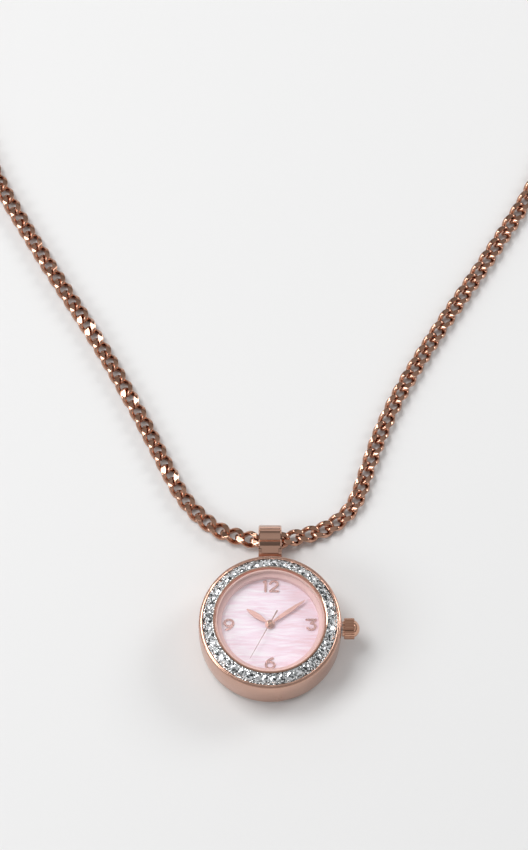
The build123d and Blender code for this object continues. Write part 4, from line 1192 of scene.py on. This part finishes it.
@dataclass
class Case(Assembly):
    """Case, bezel, channel, stones and glass.

    Attributes:
        looks: Each node with the name of its finish.
        stone_count: Stones round the bezel.
        ring_radius: Radius of the stones' ring.
        ring_height: Height of the stones' ring.
        slope: Fall of the channel outwards, in degrees.
        loose_tilt: Largest tilt of a stone in its seat, in degrees.
        seed: Seed of the stones' tilts and turns.
        grain_radius: Radius of the small grains that hold the stones.
        grain_reach: Distance of the grains from the middle of the channel.
        grain_rise: Height of the grains' middles over the stones' ring.
        stone: The cut of the stones.
    """

    looks: Looks = (
        ("case_body", "RoseCase"),
        ("case_back", "SteelBack"),
        ("case_back_gasket", "BlackRubber"),
        ("bezel", "RosePolish"),
        ("stone_channel", "ChannelPaintedGlints"),
        ("glass", "ClearGlass"),
        ("glass_gasket", "TintedNylon"),
        ("rehaut", "RoseSatin"),
        ("case_lug", "RosePolish"),
        ("bail_pin", "RosePolish"),
    )
    stone_count: int = 46
    ring_radius: float = 12.23 * MM
    ring_height: float = 9.615 * MM
    slope: float = 29.9
    loose_tilt: float = 8.0
    seed: int = 46
    grain_radius: float = 0.20 * MM
    grain_reach: float = 0.74 * MM
    grain_rise: float = 0.02 * MM
    stone: Brilliant = Brilliant()

    def make_stones(self, material: bpy.types.Material) -> None:
        """Set the cut stones in the channel, each turned and tilted a little.

        Args:
            material: The stones' material.
        """
        points, faces = self.stone.facets()
        setting = np.random.default_rng(self.seed)
        seat = Matrix.Translation((self.ring_radius, 0.0, self.ring_height))
        all_points, all_faces = [], []
        for index in range(self.stone_count):
            around = Matrix.Rotation(2 * math.pi * index / self.stone_count, 4, "Z")
            fall = math.radians(self.slope + setting.uniform(-1, 1) * self.loose_tilt)
            lean = Matrix.Rotation(fall, 4, "Y")
            roll = Matrix.Rotation(math.radians(setting.uniform(-1, 1) * self.loose_tilt), 4, "X")
            turn = Matrix.Rotation(setting.uniform(0, math.pi / 4), 4, "Z")
            place = around @ seat @ lean @ roll @ turn
            start = index * len(points)
            all_points += [tuple(place @ Vector(point)) for point in points]
            all_faces += [tuple(corner + start for corner in face) for face in faces]
        mesh = bpy.data.meshes.new("cut_stones")
        mesh.from_pydata(all_points, [], all_faces)
        stones = set_down(mesh, material)
        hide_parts("bezel_stones")
        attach(stones, "case")

    def make_grains(self, material: bpy.types.Material) -> None:
        """Raise the small metal grains between the stones.

        Args:
            material: The grains' material.
        """
        shell = bmesh.new()
        fall = math.radians(self.slope)
        for index in range(self.stone_count):
            turn = 2 * math.pi * (index + 0.5) / self.stone_count
            for out in (self.grain_reach, -self.grain_reach):
                reach = self.ring_radius + out * math.cos(fall)
                height = self.ring_height - out * math.sin(fall) + self.grain_rise
                bmesh.ops.create_icosphere(
                    shell,
                    subdivisions=2,
                    radius=self.grain_radius,
                    matrix=Matrix.Translation(
                        (reach * math.cos(turn), reach * math.sin(turn), height)
                    ),
                )
        for face in shell.faces:
            face.smooth = True
        mesh = bpy.data.meshes.new("stone_grains")
        shell.to_mesh(mesh)
        shell.free()
        grains = set_down(mesh, material)
        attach(grains, "case")

    def build(self, finishes: Wardrobe) -> None:
        """Dress the case, set its stones and raise the grains.

        Args:
            finishes: The finishes.
        """
        super().build(finishes)
        self.make_stones(finishes["CutStone"])
        self.make_grains(finishes["BrightGrain"])


@dataclass
class Dial(Assembly):
    """Dial, applied numerals and hands."""

    looks: Looks = (
        ("dial_plate", "PlainBrass"),
        ("dial_pearl", "PinkPearl"),
        ("dial_washer", "WheelBrass"),
        ("hour_hand", "RoseHands"),
        ("minute_hand", "RoseHands"),
        ("second_hand", "RosePolish"),
        ("dial_numerals", "RoseApplied"),
    )


@dataclass
class Movement(Assembly):
    """Quartz movement, its holder and the hand setting parts."""

    looks: Looks = (
        ("main_plate", "PlainBrass"),
        ("train_bridge", "SteelBack"),
        ("movement_holder", "MouldedPlastic"),
        ("stator", "SoftIron"),
        ("coil_core", "SoftIron"),
        ("coil_winding", "CopperWire"),
        ("circuit_board", "GreenBoard"),
        ("quartz_can", "SteelPolish"),
        ("chip", "BlackResin"),
        ("battery_insulator", "AmberFilm"),
        ("battery", "SteelBack"),
        ("battery_strap", "SpringSteel"),
        ("movement_screws", "SteelPolish"),
        ("cannon_pinion", "SteelPolish"),
        ("hour_wheel", "WheelBrass"),
        ("minute_wheel", "WheelBrass"),
        ("setting_wheel", "SteelPolish"),
        ("second_wheel", "WheelBrass"),
        ("third_wheel", "WheelBrass"),
        ("step_wheel", "WheelBrass"),
        ("rotor", "SteelPolish"),
        ("stem", "SteelPolish"),
        ("sliding_pinion", "SteelPolish"),
        ("yoke", "SpringSteel"),
        ("setting_lever", "SpringSteel"),
        ("crown_tube", "SteelPolish"),
        ("crown_gasket", "BlackRubber"),
    )


@dataclass
class Hangings(Assembly):
    """Crown, bail, rings and clasp."""

    looks: Looks = (
        ("crown", "RoseCrown"),
        ("bail", "RoseBail"),
        ("clasp_ring", "RoseChain"),
        ("end_ring", "RoseChain"),
        ("clasp_body", "RoseChain"),
        ("clasp_trigger", "RoseChain"),
        ("clasp_rivet", "RoseChain"),
        ("clasp_spring", "SpringSteel"),
    )


def main() -> None:
    """Build the picture: camera and chain first, then the watch, then the studio."""
    logging.basicConfig(level=logging.INFO, format="%(message)s")
    studio = Studio()
    studio.make_camera()
    finishes = Wardrobe(Effects())
    for assembly in (Chain(), Case(), Dial(), Movement(), Hangings()):
        assembly.build(finishes)
        log.info("built %s", type(assembly).__name__)
    studio.build()


if __name__ == "__main__":
    main()
